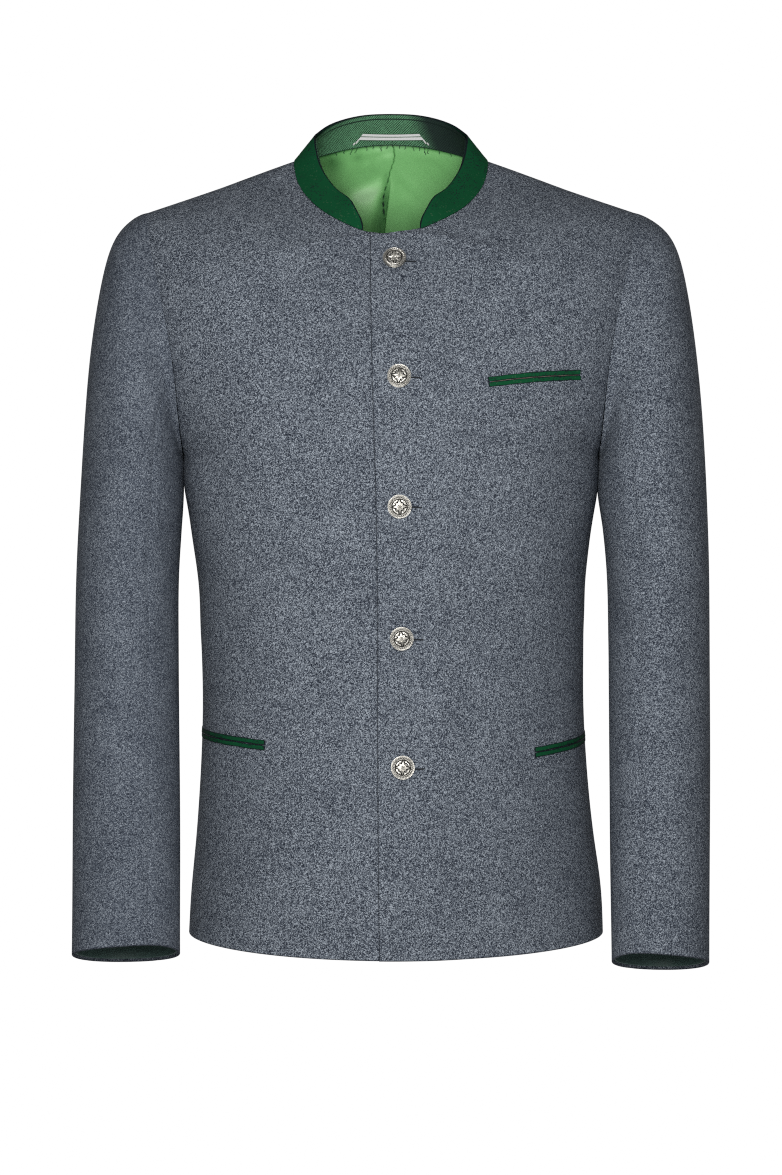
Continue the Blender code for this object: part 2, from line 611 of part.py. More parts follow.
def make_jet(name, pocket, side, low, surface):
    """One lip of a pocket: a strip on the front, from its front end towards the side."""
    x, z, length, climb = pocket
    row, across = find_on_front(np.array([x]), np.array([z]), side)
    reach = np.linspace(across[0], 1.0, 200)
    line = front_face(np.full_like(reach, row[0]), reach, side)
    run = np.concatenate([[0], np.cumsum(np.linalg.norm(np.diff(line, axis=0), axis=-1))])
    share = np.linspace(0, 1, 15)
    along = np.interp(share * min(length, run[-1] - POCKET_END), run, reach)
    lines = []
    for offset in np.linspace(low, low + JET_WIDTH, 3):
        lines.append(z + share * climb + offset)
    heights = np.array(lines)
    grid_across = np.broadcast_to(along, heights.shape)
    grid_row = rows_at_height(grid_across, heights, side)
    points = front_face(grid_row, grid_across, side, JET_WALL + SEAM_GAP)
    normals = body_normals(grid_row, grid_across, 1, side)
    faces = grid_faces(*heights.shape, flip=side < 0)
    return shell(name, points.reshape(-1, 3), faces, JET_WALL, surface, normals.reshape(-1, 3))


def rows_at_height(across, height, side):
    """The row of a front at each across whose point has this height."""
    low, high = np.full(across.shape, 0.0), np.full(across.shape, 10.0)
    for _ in range(40):
        middle = (low + high) / 2
        under = body_points(middle, across, 1, side)[..., 2] < height
        low, high = np.where(under, middle, low), np.where(under, high, middle)
    return (low + high) / 2


def make_button(name, x, z, surface):
    """A domed button on its shank, turned round the direction that its front faces."""
    row, across = find_on_front(np.array([x]), np.array([z]), 1)
    foot = front_face(row, across, 1)[0]
    axis = body_normals(row, across, 1, 1)[0]
    side = unit(np.cross(axis, np.array([0.0, 0.0, 1.0])))
    up = np.cross(side, axis)
    turn = np.arange(BUTTON_SIDES) * 2 * math.pi / BUTTON_SIDES
    spokes = np.cos(turn)[:, None] * side + np.sin(turn)[:, None] * up
    rings = [foot + axis * out + radius * spokes for radius, out in BUTTON_PROFILE[1:-1]]
    points = np.concatenate([np.concatenate(rings), [foot + axis * BUTTON_PROFILE[0][1]],
                             [foot + axis * BUTTON_PROFILE[-1][1]]])
    count = len(rings)
    index = np.arange(count * BUTTON_SIDES).reshape(count, BUTTON_SIDES)
    after = np.roll(index, -1, axis=1)
    faces = np.stack([index[:-1], index[1:], after[1:], after[:-1]], -1).reshape(-1, 4).tolist()
    bottom, top = len(points) - 2, len(points) - 1
    faces += [(bottom, int(a), int(b)) for a, b in zip(index[0], after[0])]
    faces += [(top, int(b), int(a)) for a, b in zip(index[-1], after[-1])]
    return add_object(name, points, faces, surface)


def make_tape(name, surface):
    """The hanger loop: a short tape across the inside of the neck, its ends lower than its middle."""
    share = np.linspace(-1, 1, 13)
    angle = 180 + share * math.degrees(math.asin(TAPE_HALF_LENGTH / NECK_HALF_WIDTH))
    middle = TAPE_PLACE - TAPE_DROP * share ** 4
    half = TAPE_WIDTH / 2 / COLLAR_BAND[-1][1]
    bulge = TAPE_BULGE * (1 - share ** 2)
    drawn_in = COLLAR_WALL + FACING_WALL + 2 * LAYER_GAP + bulge
    ups = np.stack([middle - half, middle, middle + half], -1)
    points = collar_points(angle[:, None], ups, drawn_in[:, None])
    faces = grid_faces(len(share), 3)
    return shell(name, points.reshape(-1, 3), faces, TAPE_WALL, surface)


def build():
    """Makes every piece."""
    loden = material("loden", 0.95)
    green = material("green cloth", 0.95)
    facing = material("facing", 0.9)
    lining = material("lining", 0.4)
    dark = material("dark lining", 0.6)
    tape = material("tape", 0.7)
    silver = material("old silver", 0.4, 1.0)
    make_front("front_left", 1, loden)
    make_front("front_right", -1, loden)
    make_back("back", loden)
    rings = np.concatenate([np.linspace(0, 4, 9), np.linspace(4, 12, 14)[1:]])
    under = FRONT_SLEEVE_SEAM, 360 + BACK_SLEEVE_SEAM
    upper = BACK_SLEEVE_SEAM, FRONT_SLEEVE_SEAM
    short = np.linspace(*CUFF_LINING_RINGS, 4)
    inside = LODEN_WALL + LAYER_GAP
    for word, side in (("left", 1), ("right", -1)):
        make_sleeve(f"upper_sleeve_{word}", side, *upper, 17, rings, LODEN_WALL, 0, loden)
        make_sleeve(f"under_sleeve_{word}", side, *under, 10, rings, LODEN_WALL, 0, loden)
        make_sleeve(f"cuff_lining_{word}_front", side, 0, 180, 13, short, LINING_WALL, inside, dark)
        make_sleeve(f"cuff_lining_{word}_back", side, 180, 360, 13, short, LINING_WALL, inside, dark)
    make_collar("collar", 0.0, COLLAR_WALL, 0.0, 1.0, 0.0, green)
    make_collar("collar_facing", COLLAR_WALL + LAYER_GAP, FACING_WALL, FACING_LOW, FACING_HIGH,
                FACING_END, facing)
    make_lining("back_lining", lining)
    upper_low, lower_low = JET_SPLIT / 2, -JET_SPLIT / 2 - JET_WIDTH
    for word, pocket, side in (("chest", CHEST_POCKET, 1), ("hip_left", HIP_LEFT_POCKET, 1),
                               ("hip_right", HIP_RIGHT_POCKET, -1)):
        make_jet(f"{word}_jet_upper", pocket, side, upper_low, green)
        make_jet(f"{word}_jet_lower", pocket, side, lower_low, green)
    make_tape("hanger_loop", tape)
    for number, (x, z) in enumerate(BUTTONS, 1):
        make_button(f"button_{number}", x, z, silver)


build()
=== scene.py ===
"""Tyrolean loden jacket: cloth, trim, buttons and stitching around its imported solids.

Shapes are worked out in millimetres with numpy, in the frame of the solids: the front faces -Y,
the wearer's left is +X, and the origin is the middle of the neck opening.
"""
import math
import bpy
import numpy as np
from bpy.props import FloatProperty, FloatVectorProperty, PointerProperty
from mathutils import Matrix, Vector


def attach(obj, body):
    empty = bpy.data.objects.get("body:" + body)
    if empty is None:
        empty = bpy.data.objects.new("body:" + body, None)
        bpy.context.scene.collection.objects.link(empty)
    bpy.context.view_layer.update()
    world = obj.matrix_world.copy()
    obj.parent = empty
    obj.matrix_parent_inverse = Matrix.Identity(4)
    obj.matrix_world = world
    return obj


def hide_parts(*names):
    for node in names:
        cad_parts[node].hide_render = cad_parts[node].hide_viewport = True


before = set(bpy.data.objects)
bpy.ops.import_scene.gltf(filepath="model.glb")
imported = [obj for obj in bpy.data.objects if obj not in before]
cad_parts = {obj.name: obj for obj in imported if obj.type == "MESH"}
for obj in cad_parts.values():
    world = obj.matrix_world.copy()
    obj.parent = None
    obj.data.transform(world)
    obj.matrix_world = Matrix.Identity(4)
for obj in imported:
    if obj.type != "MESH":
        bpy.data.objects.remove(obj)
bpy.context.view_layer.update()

bl_info = {
    "name": "Tyrolean loden jacket",
    "version": (1, 0, 0),
    "blender": (4, 5, 0),
    "location": "View3D > Sidebar > Jacket",
    "description": "Makes the cloth, trim, buttons and stitching of a loden jacket",
    "category": "Add Mesh",
}

MM = 0.001
BODY = "root"

# neck seam, an oval in plan
NECK_HALF_WIDTH = 86.0
NECK_FRONT = 80.0
NECK_BACK = 68.0
NECK_SHOULDER_ANGLE = 93.0
LEVEL_REACH = {1: 1.0, -1: 0.3}  # front and back: how far across a row the middle stays level
LEVEL_UNTIL = 1.6
SHOULDER_NORMAL = np.array([0.33, 0.0, 0.944])
NECK_HEIGHTS = (  # angle from the middle of the front, height
    (0, -72.5), (15, -69.5), (30, -60.5), (45, -49.0), (60, -35.0), (75, -19.0), (90, -1.0),
    (110, 5.5), (130, 11.5), (150, 18.5), (165, 22.5), (180, 24.0),
)

# middle of the front and of the back, and the side seam
FRONT_PROFILE = (  # height, y
    (-704.5, -125), (-611, -124), (-525, -119), (-481, -117), (-438, -118), (-363, -125),
    (-309, -129.5), (-262, -132), (-200, -128), (-150, -117), (-110, -100.5), (-72.5, -80),
)
BACK_PROFILE = (  # height, y
    (-698, 121), (-611, 123), (-525, 111), (-481, 104), (-438, 103), (-363, 111), (-309, 118),
    (-262, 123), (-200, 126), (-150, 124.5), (-100, 116), (-50, 101), (-15, 87), (24, 68),
)
SIDE_SEAM = (  # height, x on the wearer's left, x on the wearer's right, y
    (-692, 190.7, 181.8, 22), (-654, 188.8, 179.5, 24), (-611, 183.3, 175.8, 25),
    (-568, 178.6, 172.8, 25), (-525, 175.7, 171.0, 24), (-481, 174.0, 170.2, 22),
    (-438, 173.8, 171.0, 19), (-395, 174.4, 172.8, 15), (-363, 176.6, 175.4, 12),
    (-331, 179.6, 179.4, 8), (-309, 182.8, 182.3, 6), (-290, 185.3, 185.2, 4),
    (-264.5, 186.0, 186.0, 2),
)

# armhole, an upright oval seen from the side, and how far out it stands
ARMHOLE_TOP = -45.0
ARMHOLE_BOTTOM = -264.5
ARMHOLE_HALF_DEPTH = 74.0
ARMHOLE_OUT = (  # height, x
    (-264.5, 186.0), (-240, 187.8), (-212, 189.7), (-180, 193), (-150, 198), (-120, 204),
    (-95, 210), (-70, 215), (-45, 218),
)

# rows across the panels: inner is 0 hem, 1 neck, 2 shoulder; outer is 0 hem, 1 underarm, 2 shoulder
UNDERARM_ROW = 4
FRONT_ROWS = (  # inner, outer, turn at the outer end, reach inner, reach outer, rise
    (0.000, 0.000, 94, 0.46, 0.37, 0),
    (0.180, 0.257, 94, 0.46, 0.37, 0),
    (0.350, 0.503, 94, 0.46, 0.37, 0),
    (0.530, 0.760, 93, 0.46, 0.37, 0),
    (0.700, 1.000, 91, 0.46, 0.37, 0),
    (0.754, 1.083, 83, 0.46, 0.36, 0),
    (0.805, 1.167, 74, 0.45, 0.35, 0),
    (0.857, 1.261, 66, 0.44, 0.34, 0),
    (0.909, 1.356, 59, 0.42, 0.33, 0),
    (0.957, 1.450, 52, 0.40, 0.33, 1),
    (1.000, 1.544, 44, 0.38, 0.33, 2),
    (1.333, 1.678, 32, 0.35, 0.33, 2.5),
    (1.667, 1.822, 17, 0.34, 0.33, 2.5),
    (2.000, 2.000, 0, 0.33, 0.33, 0),
)
BACK_ROWS = (  # the same columns
    (0.000, 0.000, 86, 0.44, 0.35, 0),
    (0.180, 0.257, 86, 0.44, 0.35, 0),
    (0.350, 0.503, 86, 0.44, 0.35, 0),
    (0.480, 0.760, 87, 0.44, 0.35, 0),
    (0.604, 1.000, 88, 0.44, 0.36, 0),
    (0.662, 1.100, 80, 0.44, 0.36, 0),
    (0.720, 1.200, 71, 0.43, 0.35, 0),
    (0.778, 1.300, 63, 0.42, 0.35, 0),
    (0.835, 1.400, 56, 0.41, 0.34, 0),
    (0.892, 1.500, 49, 0.40, 0.34, 1),
    (0.947, 1.600, 42, 0.39, 0.33, 2),
    (1.000, 1.700, 34, 0.38, 0.33, 2),
    (1.400, 1.810, 23, 0.36, 0.33, 1.0),
    (1.750, 1.910, 11, 0.34, 0.33, 0.3),
    (2.000, 2.000, 0, 0.33, 0.33, 0),
)

# front closure, left over right
TOP_EDGE = ((-704.5, -10.2), (-520, -11.7), (-306, -13.2), (-200, -16.4), (-72, -18.6))
UNDER_EDGE = ((-704.5, 31), (-520, 30), (-306, 27.5), (-200, 26.5), (-72, 23))
OVERLAP_EASE = 1.0
OVERLAP_FULL = 33.0
OVERLAP_END = 75.0

# sleeve rings from the armhole to the cuff, for the wearer's left
SLEEVE_RINGS = (
    # outer x, outer z, inner x, inner z, middle y, half depth, slant, squareness
    (218.0, -45.0, 186.0, -264.5, 1, 74, 0.00, 2.00),
    (228.5, -48.8, 188.0, -267.0, 1, 75, 0.00, 2.00),
    (245.0, -61.0, 187.8, -271.0, -3, 76, 0.00, 2.02),
    (257.8, -84.0, 186.9, -278.0, -8, 76, 0.00, 2.04),
    (266.9, -124.0, 186.3, -287.5, -12, 75, 0.00, 2.06),
    (273.8, -175.0, 186.8, -303.0, -16, 73, 0.00, 2.08),
    (278.6, -236.0, 190.0, -330.0, -16, 71, 0.00, 2.10),
    (281.9, -308.0, 193.5, -372.0, -17, 68, 0.00, 2.12),
    (284.4, -384.0, 194.4, -424.0, -20, 65, 0.02, 2.14),
    (284.5, -468.0, 194.8, -488.0, -26, 61, 0.05, 2.15),
    (283.2, -556.0, 194.9, -562.0, -36, 57, 0.11, 2.15),
    (282.0, -637.0, 194.7, -638.0, -48, 52, 0.18, 2.15),
    (280.5, -714.0, 194.4, -712.0, -62, 48, 0.24, 2.15),
)
RIGHT_SLEEVE_MOVE = (  # how the wearer's right sleeve differs: ring, outer x, inner x, z
    (0, 0, 0, 0), (1, -1, 0, 0), (2, -3.8, 0, 0), (5, -4.6, 0, 0), (6, -4.6, -2.6, 0),
    (7, -4.2, -4.2, 0), (9, -2.6, -5.6, 3), (10, -1.6, -7.0, 4.3), (12, 1.2, -8.2, 7),
)
LAST_RING = len(SLEEVE_RINGS) - 1
FRONT_SLEEVE_SEAM = 118.0
BACK_SLEEVE_SEAM = -122.0

COLLAR_FOOT = -0.15  # the collar starts a little under the neck seam
# standing collar: angle from the middle of the front, height of the band, lean inwards
COLLAR_BAND = (
    (16.5, 2.5, 22), (18, 8.5, 24), (21, 15.0, 26), (25, 21.0, 29), (30, 25.5, 33),
    (36, 27.0, 38), (45, 27.3, 44), (60, 27.5, 47), (75, 27.2, 46), (90, 27.2, 43),
    (105, 27.8, 37), (120, 28.6, 29), (150, 30.2, 16), (180, 29.6, 13),
)

# pockets: x and height of the front end, length, climb towards the side
POCKETS = {
    "chest": ((84.0, -204.6, 104.0, 8.2), 1),
    "hip_left": ((125.5, -526.6, 140.0, 12.0), 1),
    "hip_right": ((110.0, -520.0, 140.0, 9.0), -1),
}
BUTTONS = ((3.0, -98.2), (6.9, -200.8), (7.2, -312.0), (9.0, -425.7), (9.9, -537.8))

TINY_STEP = 1e-3  # how far apart the formulas are read for a direction
# lines of a grid close to an edge, so that the edge is round: distance from it
EDGE_LINES = np.array([0.0, 0.22, 0.5, 0.85, 1.3, 1.9, 2.8, 4.2, 6.3])


# ------ sums used all through

def held(value):
    """The value held between 0 and 1."""
    return np.clip(value, 0, 1)


def hump(distance, width):
    """A soft hump, exp(-(distance / width) squared)."""
    return np.exp(-(distance / width) ** 2)


def eased(share):
    """A share that starts and ends slowly, s squared times (3 - 2 s)."""
    return share * share * (3 - 2 * share)


def powered(value, power):
    """The value's size to a power, with its own sign: it makes an oval squarer."""
    return np.sign(value) * np.abs(value) ** power


def quarter_round(distance, radius):
    """The rise of a quarter circle at a distance from the edge, from 0 to 1."""
    return np.sqrt(1 - (1 - held(distance / radius)) ** 2)


def whole_turn(count):
    """Even angles round a circle, in radians."""
    return np.arange(count) * 2 * math.pi / count


def from_outside(angle):
    """Degrees round a sleeve, from -180 to 180, with 0 on its outer side."""
    return np.mod(angle + 180, 360) - 180


def run_along(line):
    """The length run along a line of points, from 0 at its first one."""
    return np.concatenate([[0], np.cumsum(np.linalg.norm(np.diff(line, axis=0), axis=-1))])


def points_at(at, run, line):
    """Points of a line at lengths run along it."""
    return np.stack([np.interp(at, run, line[:, axis]) for axis in range(3)], -1)


def cloth_mm(word):
    """A length from the sidebar's cloth settings, in millimetres."""
    return getattr(bpy.context.scene.jacket_cloth, word) * 1000


# ------ the jacket's form

def curve_through(table, at):
    """Smooth curves through a table whose first column rises; one result column for each other."""
    table = np.asarray(table, float)
    knots, values = table[:, 0], table[:, 1:]
    count, step = len(knots), np.diff(knots)
    system = np.eye(count)
    right = np.zeros_like(values)
    inner = np.arange(1, count - 1)
    system[inner, inner - 1] = step[:-1]
    system[inner, inner] = 2 * (step[:-1] + step[1:])
    system[inner, inner + 1] = step[1:]
    slope = np.diff(values, axis=0) / step[:, None]
    right[1:-1] = 6 * np.diff(slope, axis=0)
    bend = np.linalg.solve(system, right)
    at = np.clip(np.asarray(at, float), knots[0], knots[-1])
    cell = np.clip(np.searchsorted(knots, at, side="right") - 1, 0, count - 2)
    width = step[cell][..., None]
    to_right = (at - knots[cell])[..., None]
    to_left = width - to_right
    cubic = (bend[cell] * to_left ** 3 + bend[cell + 1] * to_right ** 3) / (6 * width)
    left_part = (values[cell] / width - bend[cell] * width / 6) * to_left
    right_part = (values[cell + 1] / width - bend[cell + 1] * width / 6) * to_right
    return cubic + left_part + right_part


def numbered(table):
    """The table with its row number put first."""
    table = np.asarray(table, float)
    return np.column_stack([np.arange(len(table)), table])


def unit(vectors):
    """Vectors of length one."""
    return vectors / np.maximum(np.linalg.norm(vectors, axis=-1, keepdims=True), 1e-12)


def neck_seam(angle):
    """An oval in plan, x = width sin(angle), y = -depth cos(angle), its height from a table."""
    angle = np.asarray(angle, float)
    folded = 180 - np.abs(180 - np.mod(angle, 360))
    turn = np.radians(angle)
    depth = np.where(np.cos(turn) > 0, NECK_FRONT, NECK_BACK)
    height = curve_through(NECK_HEIGHTS, folded)[..., 0]
    return np.stack([NECK_HALF_WIDTH * np.sin(turn), -depth * np.cos(turn), height], -1)


def armhole(angle, facing):
    """An upright oval: z = middle + half height cos(angle), y = half depth sin(angle)."""
    turn = np.radians(np.asarray(angle, float))
    middle = (ARMHOLE_TOP + ARMHOLE_BOTTOM) / 2
    z = middle + (ARMHOLE_TOP - ARMHOLE_BOTTOM) / 2 * np.cos(turn)
    y = 1 - np.cos(turn) - facing * ARMHOLE_HALF_DEPTH * np.sin(turn)
    x = curve_through(ARMHOLE_OUT, z)[..., 0]
    return np.stack([x, y, z], -1)


def inner_end(place, facing):
    """Where a row starts: up the middle of the body, then round the neck seam to the shoulder."""
    profile = FRONT_PROFILE if facing > 0 else BACK_PROFILE
    z = profile[0][0] + (profile[-1][0] - profile[0][0]) * held(place)
    y = curve_through(profile, z)[..., 0]
    middle = np.stack([np.zeros_like(z), y, z], -1)
    start = 0.0 if facing > 0 else 180.0
    around = neck_seam(start + (NECK_SHOULDER_ANGLE - start) * held(place - 1))
    return np.where((place > 1)[..., None], around, middle)


def outer_end(place, facing, side):
    """Where a row ends: up the side seam, then round the armhole to the shoulder point."""
    low, high = SIDE_SEAM[0][0], SIDE_SEAM[-1][0]
    z = low + (high - low) * held(place)
    seam = curve_through(SIDE_SEAM, z)
    width = seam[..., 0] if side > 0 else seam[..., 1]
    below = np.stack([width, seam[..., 2], z], -1)
    above = armhole(180 * (2 - np.clip(place, 1, 2)), facing)
    return np.where((place > 1)[..., None], above, below)


def place_on_rows(table, row):
    """Where a row meets the inner and the outer path, in even steps between the table's rows."""
    table = np.asarray(table, float)
    steps = np.arange(len(table))
    return np.interp(row, steps, table[:, 0]), np.interp(row, steps, table[:, 1])


def neck_row_of(table):
    """The row whose inner end is the neck point."""
    return float([row[0] for row in table].index(1.0))


def body_points(row, across, facing, side):
    """The body's outer face: each row is a cubic in plan from the middle, leaving sideways, to
    the side, arriving at the table's turn; its height runs from the one end's to the other's."""
    table = FRONT_ROWS if facing > 0 else BACK_ROWS
    values = curve_through(numbered(table), row)
    inner_place, outer_place = place_on_rows(table, row)
    turn, reach_in, reach_out, rise = np.moveaxis(values[..., 2:], -1, 0)
    start = inner_end(inner_place, facing)
    end = outer_end(outer_place, facing, side)
    length = np.linalg.norm(end - start, axis=-1)
    angle = np.radians(turn)
    leave = np.stack([np.ones_like(angle), np.zeros_like(angle)], -1)
    arrive = np.stack([np.cos(angle), facing * np.sin(angle)], -1)
    first = start[..., :2] + leave * (reach_in * length)[..., None]
    second = end[..., :2] - arrive * (reach_out * length)[..., None]
    t = np.abs(across)[..., None]
    plan = ((1 - t) ** 3 * start[..., :2] + 3 * t * (1 - t) ** 2 * first
            + 3 * t ** 2 * (1 - t) * second + t ** 3 * end[..., :2])
    t = t[..., 0]
    level = held((LEVEL_UNTIL - inner_place) / (LEVEL_UNTIL - 1))
    share = t - level * t * held(1 - t / LEVEL_REACH[facing]) ** 2
    height = start[..., 2] + (end[..., 2] - start[..., 2]) * share + rise * np.sin(np.pi * t)
    x = plan[..., 0] * np.where(across < 0, -1, 1)
    return np.stack([x * side, plan[..., 1], height], -1)


def body_normals(row, across, facing, side):
    """Outward directions of the body's face, from steps of the formula along and across."""
    step = TINY_STEP
    table = FRONT_ROWS if facing > 0 else BACK_ROWS
    last, neck = len(table) - 1, neck_row_of(table)
    low, high = np.clip(row - step, 0, last), np.clip(row + step, 0, last)
    high = np.where(row <= neck, np.minimum(high, neck), high)
    low = np.where(row > neck, np.maximum(low, neck + 1e-6), low)
    up = body_points(high, across, facing, side) - body_points(low, across, facing, side)
    before = np.where(across >= 0, np.maximum(across - step, 0), across - step)
    out = body_points(row, across + step, facing, side) - body_points(row, before, facing, side)
    return unit(np.cross(out, up) * side * facing)


def overlap(x, wall):
    """How far the top front stands off the under one, full near the edge and fading sideways."""
    fade = held((OVERLAP_END - x) / (OVERLAP_END - OVERLAP_FULL))
    return (wall + OVERLAP_EASE) * eased(fade)


def on_front(row, across, side, wall, out=0.0):
    """Points of a front's outer face with their directions, moved out by a distance."""
    base = body_points(row, across, 1, side)
    normals = body_normals(row, across, 1, side)
    lift = overlap(base[..., 0], wall) if side > 0 else 0.0
    amount = np.asarray(lift + front_relief(base) + out)
    return base + normals * amount[..., None], normals


def find_on_front(x, z, side):
    """Row and across of the points of a front with this distance from the middle and height."""
    row, across = np.full_like(x, 5.0), np.clip(x / 260, 0, 0.9)
    step = TINY_STEP
    for _ in range(30):
        here = body_points(row, across, 1, side)
        by_row = (body_points(row + step, across, 1, side) - here) / step
        by_across = (body_points(row, across + step, 1, side) - here) / step
        miss_x, miss_z = x - here[..., 0] * side, z - here[..., 2]
        a, b = by_row[..., 0] * side, by_across[..., 0] * side
        c, d = by_row[..., 2], by_across[..., 2]
        scale = a * d - b * c
        row = np.clip(row + np.clip((miss_x * d - miss_z * b) / scale, -1, 1), 0.05, 12)
        across = np.clip(across + np.clip((a * miss_z - c * miss_x) / scale, -0.2, 0.2), -0.2, 1)
    return row, across


def sleeve_points(ring, angle, side):
    """The sleeve's outer face: rings of squared ovals between the tables' outer and inner points,
    tilted as the arm hangs; ring 0 is the armhole, and angle 0 outside, 90 front, 180 inside."""
    ring, angle = np.broadcast_arrays(ring, angle)
    values = curve_through(numbered(SLEEVE_RINGS), ring)
    outer_x, outer_z, inner_x, inner_z, middle, depth, slant, square = np.moveaxis(values, -1, 0)
    if side < 0:
        move = curve_through(RIGHT_SLEEVE_MOVE, ring)
        outer_x, inner_x = outer_x + move[..., 0], inner_x + move[..., 1]
        outer_z, inner_z = outer_z + move[..., 2], inner_z + move[..., 2]
    turn = np.radians(angle)
    power = 2 / square
    cosine, sine = powered(np.cos(turn), power), powered(np.sin(turn), power)
    x = (outer_x + inner_x) / 2 + (outer_x - inner_x) / 2 * cosine
    z = (outer_z + inner_z) / 2 + (outer_z - inner_z) / 2 * cosine
    y = middle - depth * sine
    z = z - slant * (y - middle)
    edge = armhole(np.abs(from_outside(angle)), 1)
    first = SLEEVE_RINGS[0]
    straight = (first[0] + first[2]) / 2 + (first[0] - first[2]) / 2 * np.cos(turn)
    fade = held(1 - ring / 4) ** 2
    x = x + (edge[..., 0] - straight) * fade
    y = y + (1 - np.cos(turn) - first[4]) * fade
    return np.stack([x * side, y, z], -1)


def collar_points(angle, up, drawn_in, wall):
    """The standing collar: from the neck seam along a line that leans inwards by the table's
    angle; up is 0 at the seam and 1 at the top edge."""
    angle, up = np.broadcast_arrays(np.asarray(angle, float), np.asarray(up, float))
    folded = 180 - np.abs(180 - angle)
    height, lean = np.moveaxis(curve_through(COLLAR_BAND, folded), -1, 0)
    foot = neck_seam(angle)
    turn = np.radians(angle)
    inward = np.stack([-np.sin(turn), np.cos(turn), 0 * turn], -1)
    tip = np.radians(lean)[..., None]
    rise = np.array([0.0, 0.0, 1.0])
    direction = inward * np.sin(tip) + rise * np.cos(tip)
    across = inward * np.cos(tip) - rise * np.sin(tip)
    left_front = (angle < 90) & (angle > 0)
    lift = np.where(left_front, overlap(foot[..., 0], wall), 0.0)
    start = COLLAR_FOOT + up * (height - COLLAR_FOOT)
    return foot + direction * start[..., None] + across * (drawn_in - lift)[..., None]


# ------ folds and relief

# soft folds: x and height of both ends, bow, width, depth; a ridge is above 0, a trough below
FRONT_FOLDS = {
    1: (
        (178, -236, 128, -300, 6, 11, -1.6), (182, -262, 140, -345, 8, 13, 1.3),
        (170, -150, 158, -255, -6, 10, -1.5), (150, -120, 96, -250, 14, 26, 1.2),
        (186, -330, 120, -420, 10, 15, -1.2), (176, -420, 118, -372, -6, 16, 1.1),
        (60, -330, 150, -392, 5, 17, -0.9), (120, -540, 168, -650, 10, 22, -1.4),
        (70, -560, 92, -690, 6, 26, 1.3), (30, -430, 96, -470, 4, 20, -0.7),
        (44, -120, 70, -230, 8, 24, -0.9),
    ),
    -1: (
        (-178, -230, -132, -305, -7, 12, -1.5), (-183, -258, -136, -352, -8, 13, 1.4),
        (-170, -146, -160, -250, 6, 10, -1.5), (-146, -116, -104, -262, -12, 28, 1.3),
        (-184, -342, -112, -436, -9, 16, -1.2), (-174, -436, -110, -380, 6, 15, 1.0),
        (-52, -345, -140, -405, -5, 18, -0.8), (-126, -560, -164, -668, -8, 21, -1.3),
        (-72, -540, -88, -690, -5, 27, 1.2), (-26, -446, -92, -492, -5, 21, -0.7),
        (-48, -128, -76, -240, -8, 25, -0.8),
    ),
}
BACK_FOLDS = (
    (0, -395, 0, -690, 2, 9, -0.9), (160, -250, 96, -330, 8, 14, -1.7),
    (-158, -246, -100, -338, -8, 15, -1.6), (150, -180, 120, -300, 8, 16, 1.3),
    (-152, -176, -124, -304, -8, 15, 1.4), (168, -430, 60, -452, -6, 15, -1.3),
    (-170, -440, -52, -470, 6, 16, -1.4), (150, -470, 30, -500, 4, 17, 1.1),
    (-146, -480, -20, -512, -4, 18, 1.2), (90, -560, 110, -690, 8, 26, -1.2),
    (-84, -548, -108, -690, -8, 28, -1.3), (40, -20, 60, -120, 4, 18, -0.8),
    (-38, -24, -62, -126, -4, 19, -0.8),
)
# the same on a sleeve: angle and height of both ends, bow, width, depth
SLEEVE_FOLDS = {
    1: (
        (88, -190, 84, -690, 6, 17, 1.5), (146, -330, 96, -398, -7, 12, -2.0),
        (150, -372, 90, -436, -6, 11, 1.6), (160, -410, 100, -470, -7, 12, -1.7),
        (30, -420, 74, -470, 5, 14, -1.3), (22, -360, 70, -392, 4, 15, 1.0),
        (60, -110, 52, -240, 4, 14, -1.0), (120, -150, 108, -250, 4, 10, 1.2),
        (40, -560, 60, -640, 5, 16, -1.1), (130, -560, 118, -690, -5, 14, -1.0),
        (-60, -380, -130, -440, 8, 15, -1.8), (-50, -430, -120, -490, 8, 16, 1.5),
        (-90, -160, -84, -330, 6, 18, 1.1), (-150, -300, -80, -360, 6, 14, -1.4),
        (200, -420, 240, -500, 6, 14, -1.2), (-40, -600, -80, -690, 6, 18, -1.0),
    ),
    -1: (
        (90, -200, 86, -690, -7, 17, 1.5), (148, -346, 92, -412, -8, 12, -1.9),
        (152, -388, 88, -446, -6, 12, 1.5), (158, -428, 96, -492, -6, 12, -1.6),
        (28, -440, 72, -482, 5, 15, -1.5), (20, -376, 66, -408, 4, 15, 1.0),
        (58, -118, 54, -250, 4, 14, -1.0), (122, -156, 106, -262, 4, 10, 1.1),
        (44, -540, 62, -652, 5, 17, -1.1), (128, -580, 120, -690, -5, 14, -1.0),
        (-58, -396, -128, -452, 8, 15, -1.7), (-52, -446, -118, -500, 8, 15, 1.4),
        (-88, -170, -82, -340, 6, 18, 1.1), (-148, -312, -84, -372, 6, 14, -1.3),
        (204, -436, 238, -514, 6, 14, -1.2), (-42, -590, -78, -688, 6, 18, -1.0),
    ),
}
SLEEVE_RADIUS = 52.0  # turns an angle round a sleeve into a length
GRID_RADIUS = 46.0  # the same where a sleeve's edges are, for the fine steps beside them
SLEEVE_CALM = {1: 0.12, -1: 0.36}  # how much more even the cloth of a sleeve looks
INNER_FULLNESS = 1.2  # how far a sleeve's inner side swells below the armhole
UNDERARM_FULLNESS = 1.3  # and how much more right under it
FULLNESS_START, FULLNESS_END = -232.0, -326.0


